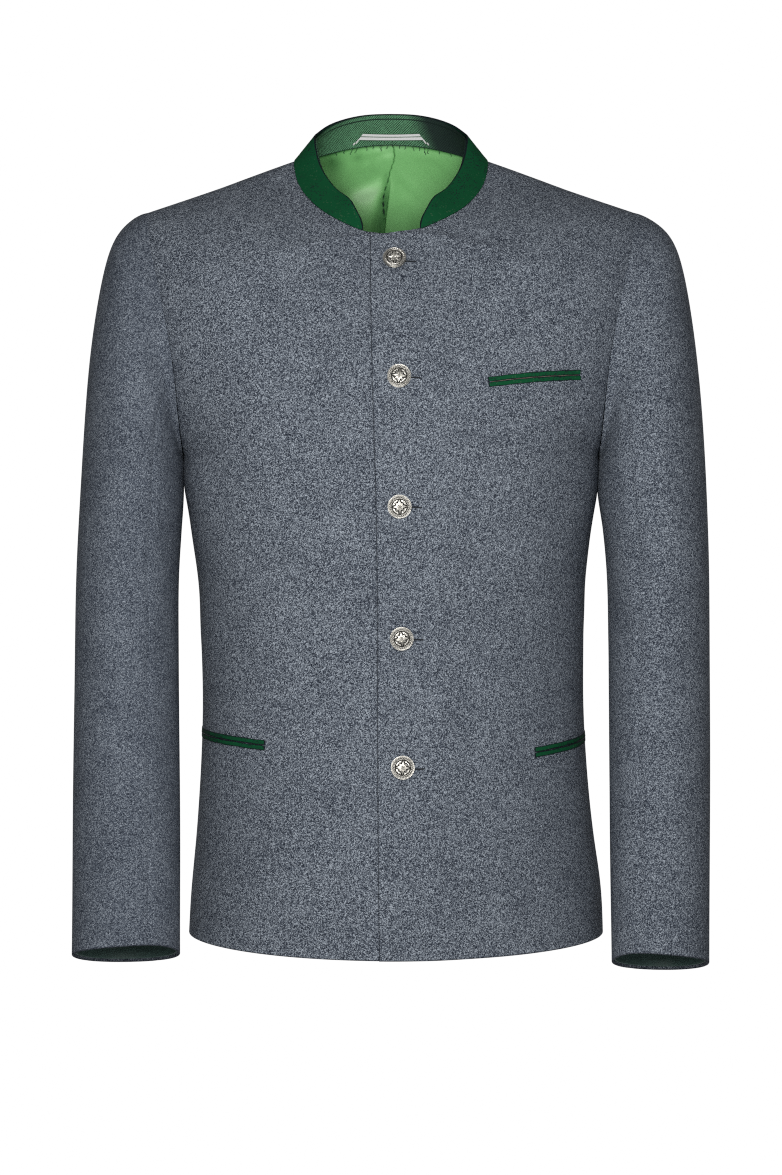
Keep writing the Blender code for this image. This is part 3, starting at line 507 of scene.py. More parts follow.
def crease_field(across, up, table):
    """The sum of soft troughs and ridges: each is depth times exp(-(distance / width) squared)
    from a bowed line, and fades to nothing at both ends of the line."""
    total = np.zeros(np.broadcast(across, up).shape)
    for x0, z0, x1, z1, bow, width, depth in table:
        length = math.hypot(x1 - x0, z1 - z0)
        ux, uz = (x1 - x0) / length, (z1 - z0) / length
        share = ((across - x0) * ux + (up - z0) * uz) / length
        inside = held(share)
        away = (up - z0) * ux - (across - x0) * uz - bow * 4 * inside * (1 - inside)
        fade = np.sin(np.pi * inside) ** 1.4 * (0.8 + 0.2 * np.sin(7 * inside + x0))
        total += depth * hump(away, width) * fade
    return total


def waves(across, up, seed):
    """Gentle unevenness of worn cloth, a few long sine waves that never line up."""
    a, b = across / 61.0 + seed, up / 74.0 + 2 * seed
    return 0.35 * (np.sin(a + 1.7 * np.sin(b)) + np.sin(1.63 * b - 0.8 * np.sin(1.31 * a + seed)))


def front_relief(base):
    """How far a front's face stands out from the plain form: its folds and waves."""
    x, z = base[..., 0], base[..., 2]
    strength = bpy.context.scene.jacket_cloth.fold_strength
    quiet = held(np.abs(x) / 45)
    folds = np.where(x > 0, *(crease_field(x, z, FRONT_FOLDS[side]) for side in (1, -1)))
    below_neck = held((FRONT_PROFILE[-1][0] - z) / 40)
    return strength * (folds + waves(x, z, 0.6) * quiet) * below_neck


def back_relief(base):
    """The same on the back, with a soft hollow down its middle below the waist."""
    x, z = base[..., 0], base[..., 2]
    strength = bpy.context.scene.jacket_cloth.fold_strength
    fade = held(-z / 60)
    return strength * (crease_field(x, z, BACK_FOLDS) + waves(x, z, 2.1)) * fade


def sleeve_relief(angle, base, side):
    """The same on a sleeve, by angle round it and height, with the fullness under the arm."""
    z = base[..., 2]
    strength = bpy.context.scene.jacket_cloth.fold_strength
    scale = math.radians(SLEEVE_RADIUS)
    table = [(a0 * scale, z0, a1 * scale, z1, bow, width, depth)
             for a0, z0, a1, z1, bow, width, depth in SLEEVE_FOLDS[side]]
    wrapped = from_outside(angle)
    folds = crease_field(wrapped * scale, z, table)
    folds += crease_field((wrapped + 360) * scale, z, table)
    window = held((FULLNESS_START - z) / 30) * held((z - FULLNESS_END) / 34)
    most = INNER_FULLNESS + UNDERARM_FULLNESS * hump(z - ARMHOLE_BOTTOM + 2.5, 9)
    fullness = most * hump(np.abs(wrapped) - 180, 20) * window
    return strength * (folds + waves(wrapped * scale, z, 3.3 + side)) + fullness


# ------ mesh tools

def fine_lines(start, stop, count, length, at_start=True, at_stop=True):
    """Even steps from start to stop, with finer ones towards the ends; length is in millimetres."""
    per_mm = (stop - start) / length
    parts = [np.linspace(start, stop, count)]
    step = abs(length) / (count - 1)
    close = EDGE_LINES[EDGE_LINES < step * 1.2]
    for end, steps, wanted in ((start, close, at_start), (stop, -close, at_stop)):
        if wanted:
            parts[0] = parts[0][np.abs(parts[0] - end) > close[-1] * abs(per_mm) * 1.3]
            parts.append(end + steps * per_mm)
    return np.unique(np.round(np.concatenate(parts), 9))


def grid_faces(rows, columns, flip=False):
    """Faces of a grid whose points run row by row."""
    index = np.arange(rows * columns).reshape(rows, columns)
    corners = (index[:-1, :-1], index[:-1, 1:], index[1:, 1:], index[1:, :-1])
    faces = np.stack([corner.ravel() for corner in corners], -1)
    return faces[:, ::-1] if flip else faces


def ring_faces(rings, around, flip=False, closed=False):
    """Faces of a tube whose rings close on themselves, points running ring by ring; where it is
    closed, its last ring joins its first."""
    index = np.arange(rings * around).reshape(rings, around)
    if closed:
        index = np.concatenate([index, index[:1]])
    after = np.roll(index, -1, axis=1)
    corners = (index[:-1], after[:-1], after[1:], index[1:])
    faces = np.stack([corner.ravel() for corner in corners], -1)
    return faces[:, ::-1] if flip else faces


def fan(centre, ring, flip=False):
    """Triangles from one point to a ring of points around it."""
    triangles = np.stack([np.full(len(ring), centre), ring, np.roll(ring, -1)], -1)
    return triangles[:, [0, 2, 1]] if flip else triangles


def only_used(faces, *columns):
    """The faces with their points numbered afresh, and each column with only the used points."""
    used = np.unique(faces)
    renumber = np.zeros(len(columns[0]), int)
    renumber[used] = np.arange(len(used))
    return (renumber[faces],) + tuple(column[used] for column in columns)


def face_normals(points, faces):
    """Outward direction at each point, the mean of its faces."""
    diagonal = points[faces[:, 2]] - points[faces[:, 0]]
    other = points[faces[:, 3]] - points[faces[:, 1]]
    facing = np.cross(diagonal, other)
    total = np.zeros_like(points)
    for corner in range(4):
        np.add.at(total, faces[:, corner], facing)
    return unit(total)


LINE_STEP = 1.5  # between the points of a line that distances are measured to
AT_ONCE = 4000  # how many points are measured in one go, to save memory


def distance_to(points, line):
    """Distance of each point from a line of points: to the nearest one, less what lies along."""
    run = run_along(line)
    line = points_at(np.linspace(0, run[-1], max(int(run[-1] / LINE_STEP), 4)), run, line)
    along = unit(np.gradient(line, axis=0))
    result = np.empty(len(points))
    for first in range(0, len(points), AT_ONCE):
        part = points[first:first + AT_ONCE]
        squares = ((part ** 2).sum(1)[:, None] + (line ** 2).sum(1)[None] - 2 * part @ line.T)
        near = squares.argmin(1)
        step = part - line[near]
        slide = np.clip((step * along[near]).sum(1), -0.8, 0.8)
        result[first:first + AT_ONCE] = np.sqrt(np.maximum((step ** 2).sum(1) - slide ** 2, 0))
    return result


def make_mesh(name, points, face_groups, surface, uv=None, numbers=None):
    """One named object from points in millimetres, groups of faces, a UV place in metres for
    each point and named numbers for each point."""
    groups = [np.asarray(group) for group in face_groups if len(group)]
    corners = np.concatenate([group.ravel() for group in groups])
    sizes = np.concatenate([np.full(len(group), group.shape[1]) for group in groups])
    mesh = bpy.data.meshes.new(name)
    mesh.vertices.add(len(points))
    mesh.vertices.foreach_set("co", (points * MM).ravel())
    mesh.loops.add(len(corners))
    mesh.loops.foreach_set("vertex_index", corners.astype(np.int32))
    mesh.polygons.add(len(sizes))
    mesh.polygons.foreach_set("loop_start", np.concatenate([[0], np.cumsum(sizes)[:-1]]))
    mesh.polygons.foreach_set("use_smooth", np.ones(len(sizes), bool))
    mesh.update(calc_edges=True)
    if uv is not None:
        layer = mesh.uv_layers.new(name="cut")
        layer.data.foreach_set("uv", np.asarray(uv)[corners].ravel())
    for word, values in (numbers or {}).items():
        made = mesh.attributes.new(word, "FLOAT", "POINT")
        made.data.foreach_set("value", np.asarray(values, float))
    if mesh.validate():
        raise RuntimeError(f"{name} has faces that Blender had to mend")
    piece = bpy.data.objects.new(name, mesh)
    mesh.materials.append(surface)
    bpy.context.scene.collection.objects.link(piece)
    return piece


SEAM_REACH = 3.2  # how far from a seam the cloth sinks
THIN_EDGE = 0.1  # share of the wall left at a free edge
THIN_SEAM = 0.3  # share of the wall lost at a seam


def distance_to_nearest(points, lines):
    """Distance of each point from the nearest of several lines; far away where there is none."""
    return np.min([np.full(len(points), 1e3), *(distance_to(points, line) for line in lines)], 0)


def cloth_piece(name, points, faces, normals, wall, surface, seams=(), edges=(), uv=None,
                seam_depth=0.0, roundness=0.9, tones=None):
    """A closed wall of cloth: its outer face goes through the points, its free edges are rounded
    like a quarter circle, seams turn in only a little, and the cloth sinks beside seams by depth
    times exp(-(distance / reach) squared)."""
    near_seam = distance_to_nearest(points, seams)
    near_edge = distance_to_nearest(points, edges)
    turned = np.maximum(quarter_round(near_edge, roundness), THIN_EDGE)
    away = quarter_round(near_seam, roundness)
    joined = 1 - THIN_SEAM * np.minimum(seam_depth, 1.0) * (1 - away)
    half = wall / 2 * np.minimum(turned, joined)
    sink = seam_depth * hump(near_seam, SEAM_REACH)
    middle = points - normals * (wall / 2 + sink)[:, None]
    solid = np.concatenate([middle + normals * half[:, None], middle - normals * half[:, None]])
    count = len(points)
    starts = faces.ravel()
    ends = faces[:, [1, 2, 3, 0]].ravel()
    rim = ~np.isin(starts * count + ends, ends * count + starts)
    a, b = starts[rim], ends[rim]
    walls = np.stack([b, a, a + count, b + count], -1)
    groups = (faces, faces[:, ::-1] + count, walls)
    if uv is not None:
        uv = np.concatenate([uv, uv])
    numbers = {"edge": np.tile(near_edge, 2), "inside": np.repeat([0.0, 1.0], count)}
    for word, values in (tones or {}).items():
        numbers[word] = np.tile(values, 2)
    return make_mesh(name, solid, groups, surface, uv, numbers)


def tube(path, radius, around=8, ribs=1.0, flat=1.0, up=(0.0, 0.0, 1.0), closed=False):
    """Round cross-sections carried along a path, each turned square to it; ribs scale each one's
    radius, and flat squeezes them along the up direction. Open ends come to a point."""
    if closed:
        along = unit(np.roll(path, -1, axis=0) - np.roll(path, 1, axis=0))
    else:
        along = unit(np.gradient(path, axis=0))
    first = unit(np.cross(along, up))
    second = np.cross(first, along)
    turn = whole_turn(around)
    size = np.full(len(path), radius) * ribs
    ring = (first[:, None] * np.cos(turn)[:, None]
            + second[:, None] * (flat * np.sin(turn))[:, None])
    points = (path[:, None] + ring * size[:, None, None]).reshape(-1, 3)
    faces = ring_faces(len(path), around, closed=closed)
    if closed:
        return points, [faces]
    low, high = len(points), len(points) + 1
    first_ring = np.arange(around)
    last_ring = first_ring + (len(path) - 1) * around
    ends = np.concatenate([fan(low, first_ring, flip=True), fan(high, last_ring)])
    return np.concatenate([points, path[:1], path[-1:]]), [faces, ends]


def join_parts(parts):
    """Points and face groups of several shapes as one."""
    points, groups, offset = [], {}, 0
    for part_points, part_groups in parts:
        for group in part_groups:
            group = np.asarray(group)
            groups.setdefault(group.shape[1], []).append(group + offset)
        points.append(part_points)
        offset += len(part_points)
    return np.concatenate(points), [np.concatenate(found) for found in groups.values()]


# ------ pieces of cloth

SEAM_OVERLAP = 0.12  # how far the pieces pass under each other at a seam
GRID_EDGES = {  # axis of the grid, the edge's place on it, its neighbour's place
    "first row": (0, 0, 1), "last row": (0, -1, -2),
    "first column": (1, 0, 1), "last column": (1, -1, -2),
}


def spread(points, *edges):
    """The grid with the named edges moved outwards by the overlap."""
    points = points.copy()
    for edge in edges:
        axis, here, beside = GRID_EDGES[edge]
        lines = np.swapaxes(points, 0, axis)
        lines[here] += unit(lines[here] - lines[beside]) * SEAM_OVERLAP
    return points


def place_on_cut(across, up):
    """UV places on the flat cloth, in metres, from lengths in millimetres."""
    return np.stack(np.broadcast_arrays(across, up), -1).reshape(-1, 2) * MM


def panel_rows(table, below_arm, below_neck, over_shoulder):
    """The rows of a panel's grid, with a count for each stretch: up to the underarm, on to the
    neck point and over the shoulder; the lengths are about those of the stretches."""
    neck_row, last = neck_row_of(table), len(table) - 1
    return np.unique(np.concatenate([
        fine_lines(0, UNDERARM_ROW, below_arm, 430, at_stop=False),
        np.linspace(UNDERARM_ROW, neck_row, below_neck)[1:],
        fine_lines(neck_row, last, over_shoulder, 120, at_start=False)]))


def neck_corner(points, grid_rows, across, neck_row):
    """How far the part beyond the middle moves up along the chest to meet the neck seam."""
    angle = np.degrees(np.arcsin(held(np.abs(points[..., 0]) / NECK_HALF_WIDTH)))
    top_height = points[grid_rows[:, 0] <= neck_row][-1:, :, 2]
    near = held((grid_rows - neck_row) / 1.5 + 1) * (across < 0) * (grid_rows <= neck_row)
    rise = near * (neck_seam(angle)[..., 2] - top_height)
    profile = np.asarray(FRONT_PROFILE, float)
    lean = (profile[-1, 1] - profile[-2, 1]) / (profile[-1, 0] - profile[-2, 0])
    return np.stack([np.zeros_like(rise), rise * lean, rise], -1)


EDGE_STRIP = 13.0  # about how wide the top front is beyond the middle
SHOULDER_ROW_LENGTH = 40.0
SHOULDER_ZONE = 0.2  # the rows next to the shoulder seam that take the shared direction


def seam_sink(points):
    """How deep the cloth sinks at its seams: fully below the chest, hardly at the shoulders."""
    full = cloth_mm("seam_depth")
    return full * (0.08 + 0.92 * held((-100 - points[:, 2]) / 130))


def shoulder_blend(normals, rows, side, millimetres):
    """Directions that turn to the shoulder seam's shared one in the last few millimetres, where
    one row is that many millimetres long."""
    near = hump((rows[-1] - rows) * millimetres, 4.0)[:, None, None]
    shared = SHOULDER_NORMAL * (side, 1, 1)
    return unit(normals * (1 - near) + unit(shared) * near)


def front_panel(name, side, wall, surface):
    """One front: rows of the body's form from its own edge over the middle to the side seam and
    the armhole; above the neck point the rows start at the neck seam."""
    neck_row, last = neck_row_of(FRONT_ROWS), len(FRONT_ROWS) - 1
    rows = panel_rows(FRONT_ROWS, 78, 66, 50)
    edge = TOP_EDGE if side > 0 else UNDER_EDGE
    trial = np.linspace(-0.3, 0.0, 61)
    start = np.zeros(len(rows))
    for i, row in enumerate(rows):
        if row <= neck_row:
            line = body_points(np.full_like(trial, row), trial, 1, side)
            beyond = curve_through(edge, line[-1, 2])[0] * side
            start[i] = np.interp(beyond, line[:, 0] * side, trial)
    beyond = start[:, None] * (1 - np.append(EDGE_LINES, 8.2) / EDGE_STRIP)
    share = np.tile(fine_lines(0, 1, 100, 215), (len(rows), 1))
    across = np.concatenate([beyond, share], axis=1)
    first = beyond.shape[1]
    grid_rows = np.broadcast_to(rows[:, None], across.shape)
    base = body_points(grid_rows, across, 1, side)
    points, normals = on_front(grid_rows, across, side, wall)
    if side > 0:
        points += neck_corner(points, grid_rows, across, neck_row)
    points = spread(points, "last row", "last column")
    below, above = rows <= neck_row, rows >= neck_row
    free_edge, hem, outer = points[below, 0], points[0], points[:, -1]
    shoulder = points[-1, first:]
    neck = np.concatenate([points[below][-1, :first], points[above, first]])
    cells = np.ones((len(rows) - 1, across.shape[1] - 1), bool)
    cells[rows[1:] > neck_row, :first] = False
    faces = grid_faces(*across.shape, flip=side < 0)[cells.ravel()]
    exact = (grid_rows == last) | (across == 1)
    blended = shoulder_blend(normals, rows, side, SHOULDER_ROW_LENGTH)
    shoulder_zone = np.broadcast_to((rows > last - SHOULDER_ZONE)[:, None], across.shape)
    faces, points, normals, blended, exact, zone, uv = only_used(
        faces, points.reshape(-1, 3), normals.reshape(-1, 3), blended.reshape(-1, 3),
        exact.ravel(), shoulder_zone.ravel(), place_on_cut(base[..., 0] * side, base[..., 2]))
    normals = np.where(exact[:, None], normals, face_normals(points, faces))
    normals = np.where(zone[:, None], blended, normals)
    return cloth_piece(name, points, faces, normals, wall, surface, seams=(outer, shoulder, neck),
                       edges=(free_edge, hem), uv=uv, seam_depth=seam_sink(points))


def back_panel(name, wall, surface):
    """The back in one piece: two halves that share the points of the middle line."""
    neck_row, last = neck_row_of(BACK_ROWS), len(BACK_ROWS) - 1
    rows = panel_rows(BACK_ROWS, 74, 72, 46)
    lines = fine_lines(0, 1, 88, 230)
    grid_rows, across = np.meshgrid(rows, lines, indexing="ij")
    index = np.arange(across.size).reshape(across.shape)
    on_middle = (across == 0) & (grid_rows <= neck_row)
    halves, directions, faces, places, seams, hems = [], [], [], [], [], []
    for number, side in enumerate((1, -1)):
        base = body_points(grid_rows, across, -1, side)
        normals = body_normals(grid_rows, across, -1, side)
        points = spread(base + normals * back_relief(base)[..., None], "last row", "last column")
        seams += [points[:, -1], points[-1], points[rows >= neck_row, 0]]
        hems.append(points[0])
        normals = shoulder_blend(normals, rows, side, SHOULDER_ROW_LENGTH)
        halves.append(points.reshape(-1, 3))
        directions.append(normals.reshape(-1, 3))
        places.append(place_on_cut(base[..., 0], base[..., 2]))
        half_faces = grid_faces(*across.shape, flip=side > 0)
        if number:
            half_faces = np.where(on_middle, index, index + across.size).ravel()[half_faces]
        faces.append(half_faces)
    exact = np.tile(((grid_rows > last - SHOULDER_ZONE) | (across == 1)).ravel(), 2)
    faces, points, normals, exact, uv = only_used(
        np.concatenate(faces), np.concatenate(halves), np.concatenate(directions), exact,
        np.concatenate(places))
    normals = np.where(exact[:, None], normals, face_normals(points, faces))
    return cloth_piece(name, points, faces, normals, wall, surface, seams=seams, edges=hems,
                       uv=uv, seam_depth=seam_sink(points))


CUFF_RISE = 2.6  # how much higher a sleeve's end hangs at one place round it
CUFF_RISE_ANGLE = 132.0
HEAD_ROLL = 1.1  # how far the sleeve's head is rolled beside its seam


def cuff_rise(ring, angle):
    """How much higher a sleeve's end hangs at its front, towards the body."""
    return CUFF_RISE * hump(angle - CUFF_RISE_ANGLE, 42) * held(ring - LAST_RING + 1)


def sleeve_piece(name, side, start, stop, count, rings, wall, depth, surface, seam=True,
                 whole=False):
    """A length of sleeve between two angles, drawn in by the depth from the outer face."""
    if whole:
        angle = np.linspace(start, stop, count, endpoint=False)
    else:
        angle = fine_lines(start, stop, count, math.radians(abs(stop - start)) * GRID_RADIUS)
    grid_rings, grid_angle = np.meshgrid(rings, angle, indexing="ij")
    base = sleeve_points(grid_rings, grid_angle, side)
    near = np.clip(grid_rings, 0, LAST_RING - TINY_STEP)
    along = (sleeve_points(near + TINY_STEP, grid_angle, side)
             - sleeve_points(near, grid_angle, side))
    around = sleeve_points(grid_rings, grid_angle + TINY_STEP, side) - base
    normals = unit(np.cross(around, along)) * side
    quiet = held(grid_rings / 1.2)
    head = HEAD_ROLL * hump(grid_rings - 0.5, 0.4)
    head *= hump(np.abs(from_outside(grid_angle)) - 92, 46)
    relief = sleeve_relief(grid_angle, base, side) * quiet + (head if seam else 0)
    points = base + normals * (relief - depth)[..., None]
    points[..., 2] += cuff_rise(grid_rings, grid_angle)
    uv = place_on_cut(np.radians(grid_angle) * SLEEVE_RADIUS, base[..., 2])
    if seam:
        points = spread(points, "first row", "last column", "first column")
    seams = (points[0], points[:, 0], points[:, -1]) if seam else ()
    edges = (points[-1],) if seam else (points[0], points[-1])
    flat = points.reshape(-1, 3)
    faces = (ring_faces if whole else grid_faces)(len(rings), len(angle), flip=side < 0)
    sunk = seam_sink(flat) if seam else 0.0
    return cloth_piece(name, flat, faces, normals.reshape(-1, 3), wall, surface, seams=seams,
                       edges=edges, uv=uv, seam_depth=sunk,
                       tones={"calm": np.full(len(flat), SLEEVE_CALM[side])})


COLLAR_HEIGHT = 27.0
CUT_HEIGHT = 28.0  # of the collar's layers when they lie flat
SHADE_END = 163.0  # the facing lies in shade from its left end up to about this angle


def collar_layer(name, low, high, end_margin, drawn_in, wall, cloth_wall, surface, seam):
    """A layer of the standing collar: a grid of angle round the neck by share of its height."""
    half = COLLAR_BAND[0][0] + end_margin
    close = np.degrees(EDGE_LINES / NECK_HALF_WIDTH)
    lines = np.concatenate([half + close, np.linspace(half + close[-1] + 2.0, 180, 90)])
    angle = np.concatenate([lines, 360 - lines[-2::-1]])
    ups = low + (high - low) * fine_lines(0, 1, 20, COLLAR_HEIGHT)
    grid_angle, grid_up = np.meshgrid(angle, ups, indexing="ij")
    flare = 0.0 if seam else 0.9 * held(1 - (grid_up - low) / 0.3) ** 2
    points = collar_points(grid_angle, grid_up, drawn_in + flare, cloth_wall)
    wavy = 0.25 * np.sin(np.radians(grid_angle) * 9 + 1.3) * np.sin(grid_up * 2.4 + 0.5)
    flat = points.reshape(-1, 3)
    faces = grid_faces(*grid_angle.shape)
    normals = face_normals(flat, faces)
    flat = flat + normals * (wavy * held(grid_up * 3)).reshape(-1, 1)
    uv = place_on_cut(np.radians(grid_angle) * NECK_FRONT, grid_up * CUT_HEIGHT)
    grid = flat.reshape(points.shape)
    edges, seams = [grid[:, -1], grid[0], grid[-1]], []
    (seams if seam else edges).append(grid[:, 0])
    shaded = held((SHADE_END + 9 * grid_up - grid_angle) / 17)
    tones = {"tone": (0.93 * eased(shaded)).ravel()}
    return cloth_piece(name, flat, faces, normals, wall, surface, seams=seams, edges=edges,
                       uv=uv, seam_depth=0.15, roundness=0.7, tones=tones)


LINING_ROWS = (7.4, 10.2)
LINING_GAP = 2.2
SATIN_WALL = 0.7
LINING_DRAWN_IN = 1.65
DEEPEST = 2.0  # how far the lining may sink back from its plain form
LINING_REACH = 0.62
LINING_TURN = 80.0
PLEAT_CREASE = (  # height, x of the wavering crease above the pleat
    (-160, -8.0), (-60, -6.8), (-34, -6.6), (-22, -7.0), (-13, -5.1), (-5, -2.3), (2.5, -0.5),
    (9.9, 2.3), (15.4, 3.2), (24, 1.8),
)
PLEAT_EDGE = (  # height, x of the pleat's folded edge
    (-160, -9.0), (-80, -7.4), (-53, -5.6), (-35.5, -3.7), (-17.5, -1.4), (24, -1.0),
)
# creases of the lining: x and height of both ends, bow, width, how far they stand in
LINING_CREASES = (
    (-40, -22, 2, -3, -2, 5, 1.8), (-30, 14, -4, 19, 2, 4, 1.0), (-46, -8, -12, 2, 3, 6, -1.0),
    (-62, 10, -40, -12, -3, 8, -1.2), (4, 6, 34, -22, -3, 5, 0.8), (8, -8, 40, -44, -4, 6, 0.8),
    (10, 18, 60, 4, 3, 5, 0.7), (14, -34, 30, -70, 2, 8, -0.8), (-30, 16, -22, 6, 2, 4, -1.1),
    (48, -6, 40, -60, -4, 9, -0.8), (-20, -44, -10, -80, 2, 6, 0.9),
)
# places where the satin shines or lies in shade: the same, with a lighter or darker share
LINING_TONES = (
    (-44, -24, 4, -6, -2, 6.5, 0.95), (-36, -36, -10, -20, 0, 10, 0.50),
    (-16, 12, 6, 15.5, 1.5, 2.6, 0.22), (-20, 20, 0, 18, 2, 2.2, 0.14),
    (-72, 20, -40, -2, 0, 9, -0.42), (-40, 12, -22, 14, 0, 4, -0.22),
    (-48, -12, -2, 4, 3, 6, -0.10), (8, 12, 44, -20, -4, 6, 0.07),
    (6, -6, 34, -40, -3, 5, 0.07), (20, 19, 76, 6, 3, 3, 0.12), (18, -36, 26, -70, 0, 9, -0.12),
)


def pleat_relief(x, z):
    """How far the lining stands in towards the neck: left of the pleat's folded edge it drops
    into a hollow that widens downwards, and a soft ridge and creases run into it."""
    crease = x - curve_through(PLEAT_CREASE, z)[..., 0]
    beside = x - curve_through(PLEAT_EDGE, z)[..., 0]
    opening = held((2 - z) / 60)
    hollow = -(0.4 + 4.6 * opening) * hump(beside + 4.4, 2.0 + 5.5 * opening)
    hollow = hollow * (1 - held((beside + 0.3) / 0.8)) * held((6 - z) / 10)
    groove = -0.9 * hump(crease, 0.8) * held((z + 40) / 30)
    step = 0.9 * np.exp(-np.clip(beside, 0, None) / 14) * held((beside + 0.4) / 0.8)
    small = 0.15 * np.sin(x / 3.1 + 2 * np.sin(z / 9.0)) * np.sin(z / 5.3 + x / 11.0)
    return hollow + groove + step * opening + crease_field(x, z, LINING_CREASES) + small


def pleat_tone(x, z):
    """Shine and shade of the satin: 0 is plain, the crease and the hollow are below it."""
    line = curve_through(PLEAT_CREASE, z)[..., 0]
    crease = x - line + 0.35 * np.sin(z * 1.1)
    beside = x - curve_through(PLEAT_EDGE, z)[..., 0]
    broken = held(0.75 + 0.9 * np.sin(z * 0.9 + 1) * held(-z / 12))
    dark_line = hump(crease, 0.65) * broken * held((z + 42) / 6)
    opening = held((6 - z) / 55)
    shade = hump(beside + 3.5, 1.6 + 9.5 * opening) * (beside < 0.2)
    shade = shade * held((4 - z) / 16)
    edge = 0.24 * hump(beside - 0.2, 0.5) * held((-2 - z) / 8)
    return crease_field(x, z, LINING_TONES) - 0.85 * dark_line - 0.50 * shade - edge


def back_lining(name, wall, cloth_wall, surface):
    """The lining inside the back: it follows the back's form, falls straight past the neck seam
    and ends behind the collar's facing; its pleat and creases stand in towards the neck."""
    spread = np.linspace(-1, 1, 271)
    across = LINING_REACH * np.sign(spread) * np.abs(spread) ** 1.5
    rows = np.linspace(*LINING_ROWS, 56)
    grid_rows, grid_across = np.meshgrid(rows, across, indexing="ij")
    base = body_points(grid_rows, grid_across, -1, 1)
    normals = body_normals(grid_rows, grid_across, -1, 1)
    below = base - normals * (cloth_wall + LINING_GAP)
    angle = 180 - LINING_TURN * across / LINING_REACH
    edge = collar_points(angle, 0.16, LINING_DRAWN_IN, cloth_wall)
    under_edge = collar_points(angle, 0.0, LINING_DRAWN_IN, cloth_wall) - (0.0, 0.0, 6.5)
    share = np.linspace(0, 1, 46)[1:, None, None]
    rise = (1 - share) ** 2 * below[-1] + 2 * share * (1 - share) * under_edge + share ** 2 * edge
    points = np.concatenate([below, rise])
    flat = points.reshape(-1, 3)
    faces = grid_faces(len(points), len(across), flip=True)
    normals = face_normals(flat, faces)
    fade = np.ones(len(points))
    fade[-16:] = np.linspace(0.95, 0.0, 16) ** 2
    fade[:4] = (0, 0.3, 0.6, 0.9)
    tone = pleat_tone(flat[:, 0], flat[:, 2])
    amount = pleat_relief(flat[:, 0], flat[:, 2]) * np.repeat(fade, len(across))
    flat = flat - normals * np.maximum(amount, -DEEPEST)[:, None]
    grid = flat.reshape(points.shape)
    # painted shadow: the lining is darkened in a band about 3 mm wide just under the facing's lower
    # edge
    facing_edge = collar_points(angle, 0.05, 2.0, cloth_wall)
    painted_facing_shadow = held(1 - distance_to(flat, facing_edge) / 3.4)
    tone = tone - 0.75 * painted_facing_shadow ** 2
    return cloth_piece(name, flat, faces, face_normals(flat, faces), wall, surface,
                       edges=(grid[0], grid[-1], grid[:, 0], grid[:, -1]),
                       uv=place_on_cut(grid[..., 0], grid[..., 2]), roundness=0.5,
                       tones={"tone": tone})


LOOSE_THREADS = (  # degrees from the back's middle, length, lean
    (-24.5, 5.0, 0.3), (-22, 6.5, -0.2), (-19.0, 3.2, 0.5), (-14, 4.2, -0.5), (-9.5, 3.0, 0.4),
    (-5.0, 2.6, -0.6), (1.5, 3.4, 0.9), (5.5, 5.2, 0.8), (7.2, 4.0, -0.4), (11.0, 3.0, 0.6),
    (16.5, 3.6, -0.8), (22.0, 4.6, 0.9), (25.0, 5.6, 1.3), (31.0, 3.2, 0.5), (38.0, 3.0, -0.4),
    (-33.0, 3.2, 0.6), (-41.0, 2.8, -0.5),
)


def frayed_threads(thread_size, cloth_wall):
    """Loose ends of thread at the facing's lower edge: short tubes that start under the facing
    and wander down over the lining by a sum of two sines."""
    share = np.linspace(0, 1, 22)
    parts = []
    for number, (turned, length, lean) in enumerate(LOOSE_THREADS):
        start = collar_points(180 + turned, 0.08, 3.6, cloth_wall)
        end = collar_points(180 + turned, 0.0, 3.6, cloth_wall) - (lean * 2, 0.4, length - 1.5)
        path = start + (end - start) * share[:, None]
        wander = np.sin(share * 7 + number) * 0.5 * share + 0.3 * np.sin(share * 15 + 2 * number)
        parts.append(tube(path + wander[:, None] * (1.0, 0.0, 0.3), thread_size * 0.8, 6))
    return join_parts(parts)


TAPE_HALF_LENGTH = 33.5
TAPE_WIDTH = 6.9
TAPE_HEIGHT = 31.4
TAPE_WALL = 0.7


def tape_points(share, up_share, out=0.0):
    """The hanger tape's middle plane: a level band whose upper edge is the shorter one, its ends
    folded down to the neck seam; up_share runs from -1 at its lower edge to 1 at its upper."""
    share, up_share = np.broadcast_arrays(share, up_share)
    fold = held((np.abs(share) - 0.90) / 0.10)
    x = share * (TAPE_HALF_LENGTH - 2.6 * (up_share + 1) * (1 - 0.4 * fold))
    height = TAPE_HEIGHT + up_share * TAPE_WIDTH / 2 - 0.4 * (1 - share ** 2) * up_share
    height = height - fold * (4.2 + 1.6 * up_share)
    at_seam = neck_seam(180 - np.degrees(np.arcsin(np.clip(-x / NECK_HALF_WIDTH, -1, 1))))
    y = at_seam[..., 1] - (height - at_seam[..., 2]) * 0.20
    drawn_in = 3.9 + 1.1 * (1 - share ** 2) - 0.5 * fold + out
    return np.stack([x, y - drawn_in, height], -1)


def hanger_tape(name, surface):
    """The hanger loop: a thin ribbed tape from its own grid of length by width."""
    ups = fine_lines(-1, 1, 16, TAPE_WIDTH)
    grid_share, grid_up = np.meshgrid(np.linspace(-1, 1, 161), ups, indexing="ij")
    points = tape_points(grid_share, grid_up)
    flat = points.reshape(-1, 3)
    faces = grid_faces(*grid_share.shape, flip=True)
    uv = place_on_cut(grid_share * TAPE_HALF_LENGTH, grid_up * TAPE_WIDTH / 2)
    edges = (points[:, 0], points[:, -1], points[0], points[-1])
    return cloth_piece(name, flat, faces, face_normals(flat, faces), TAPE_WALL, surface,
                       edges=edges, uv=uv, roundness=TAPE_WALL / 2)


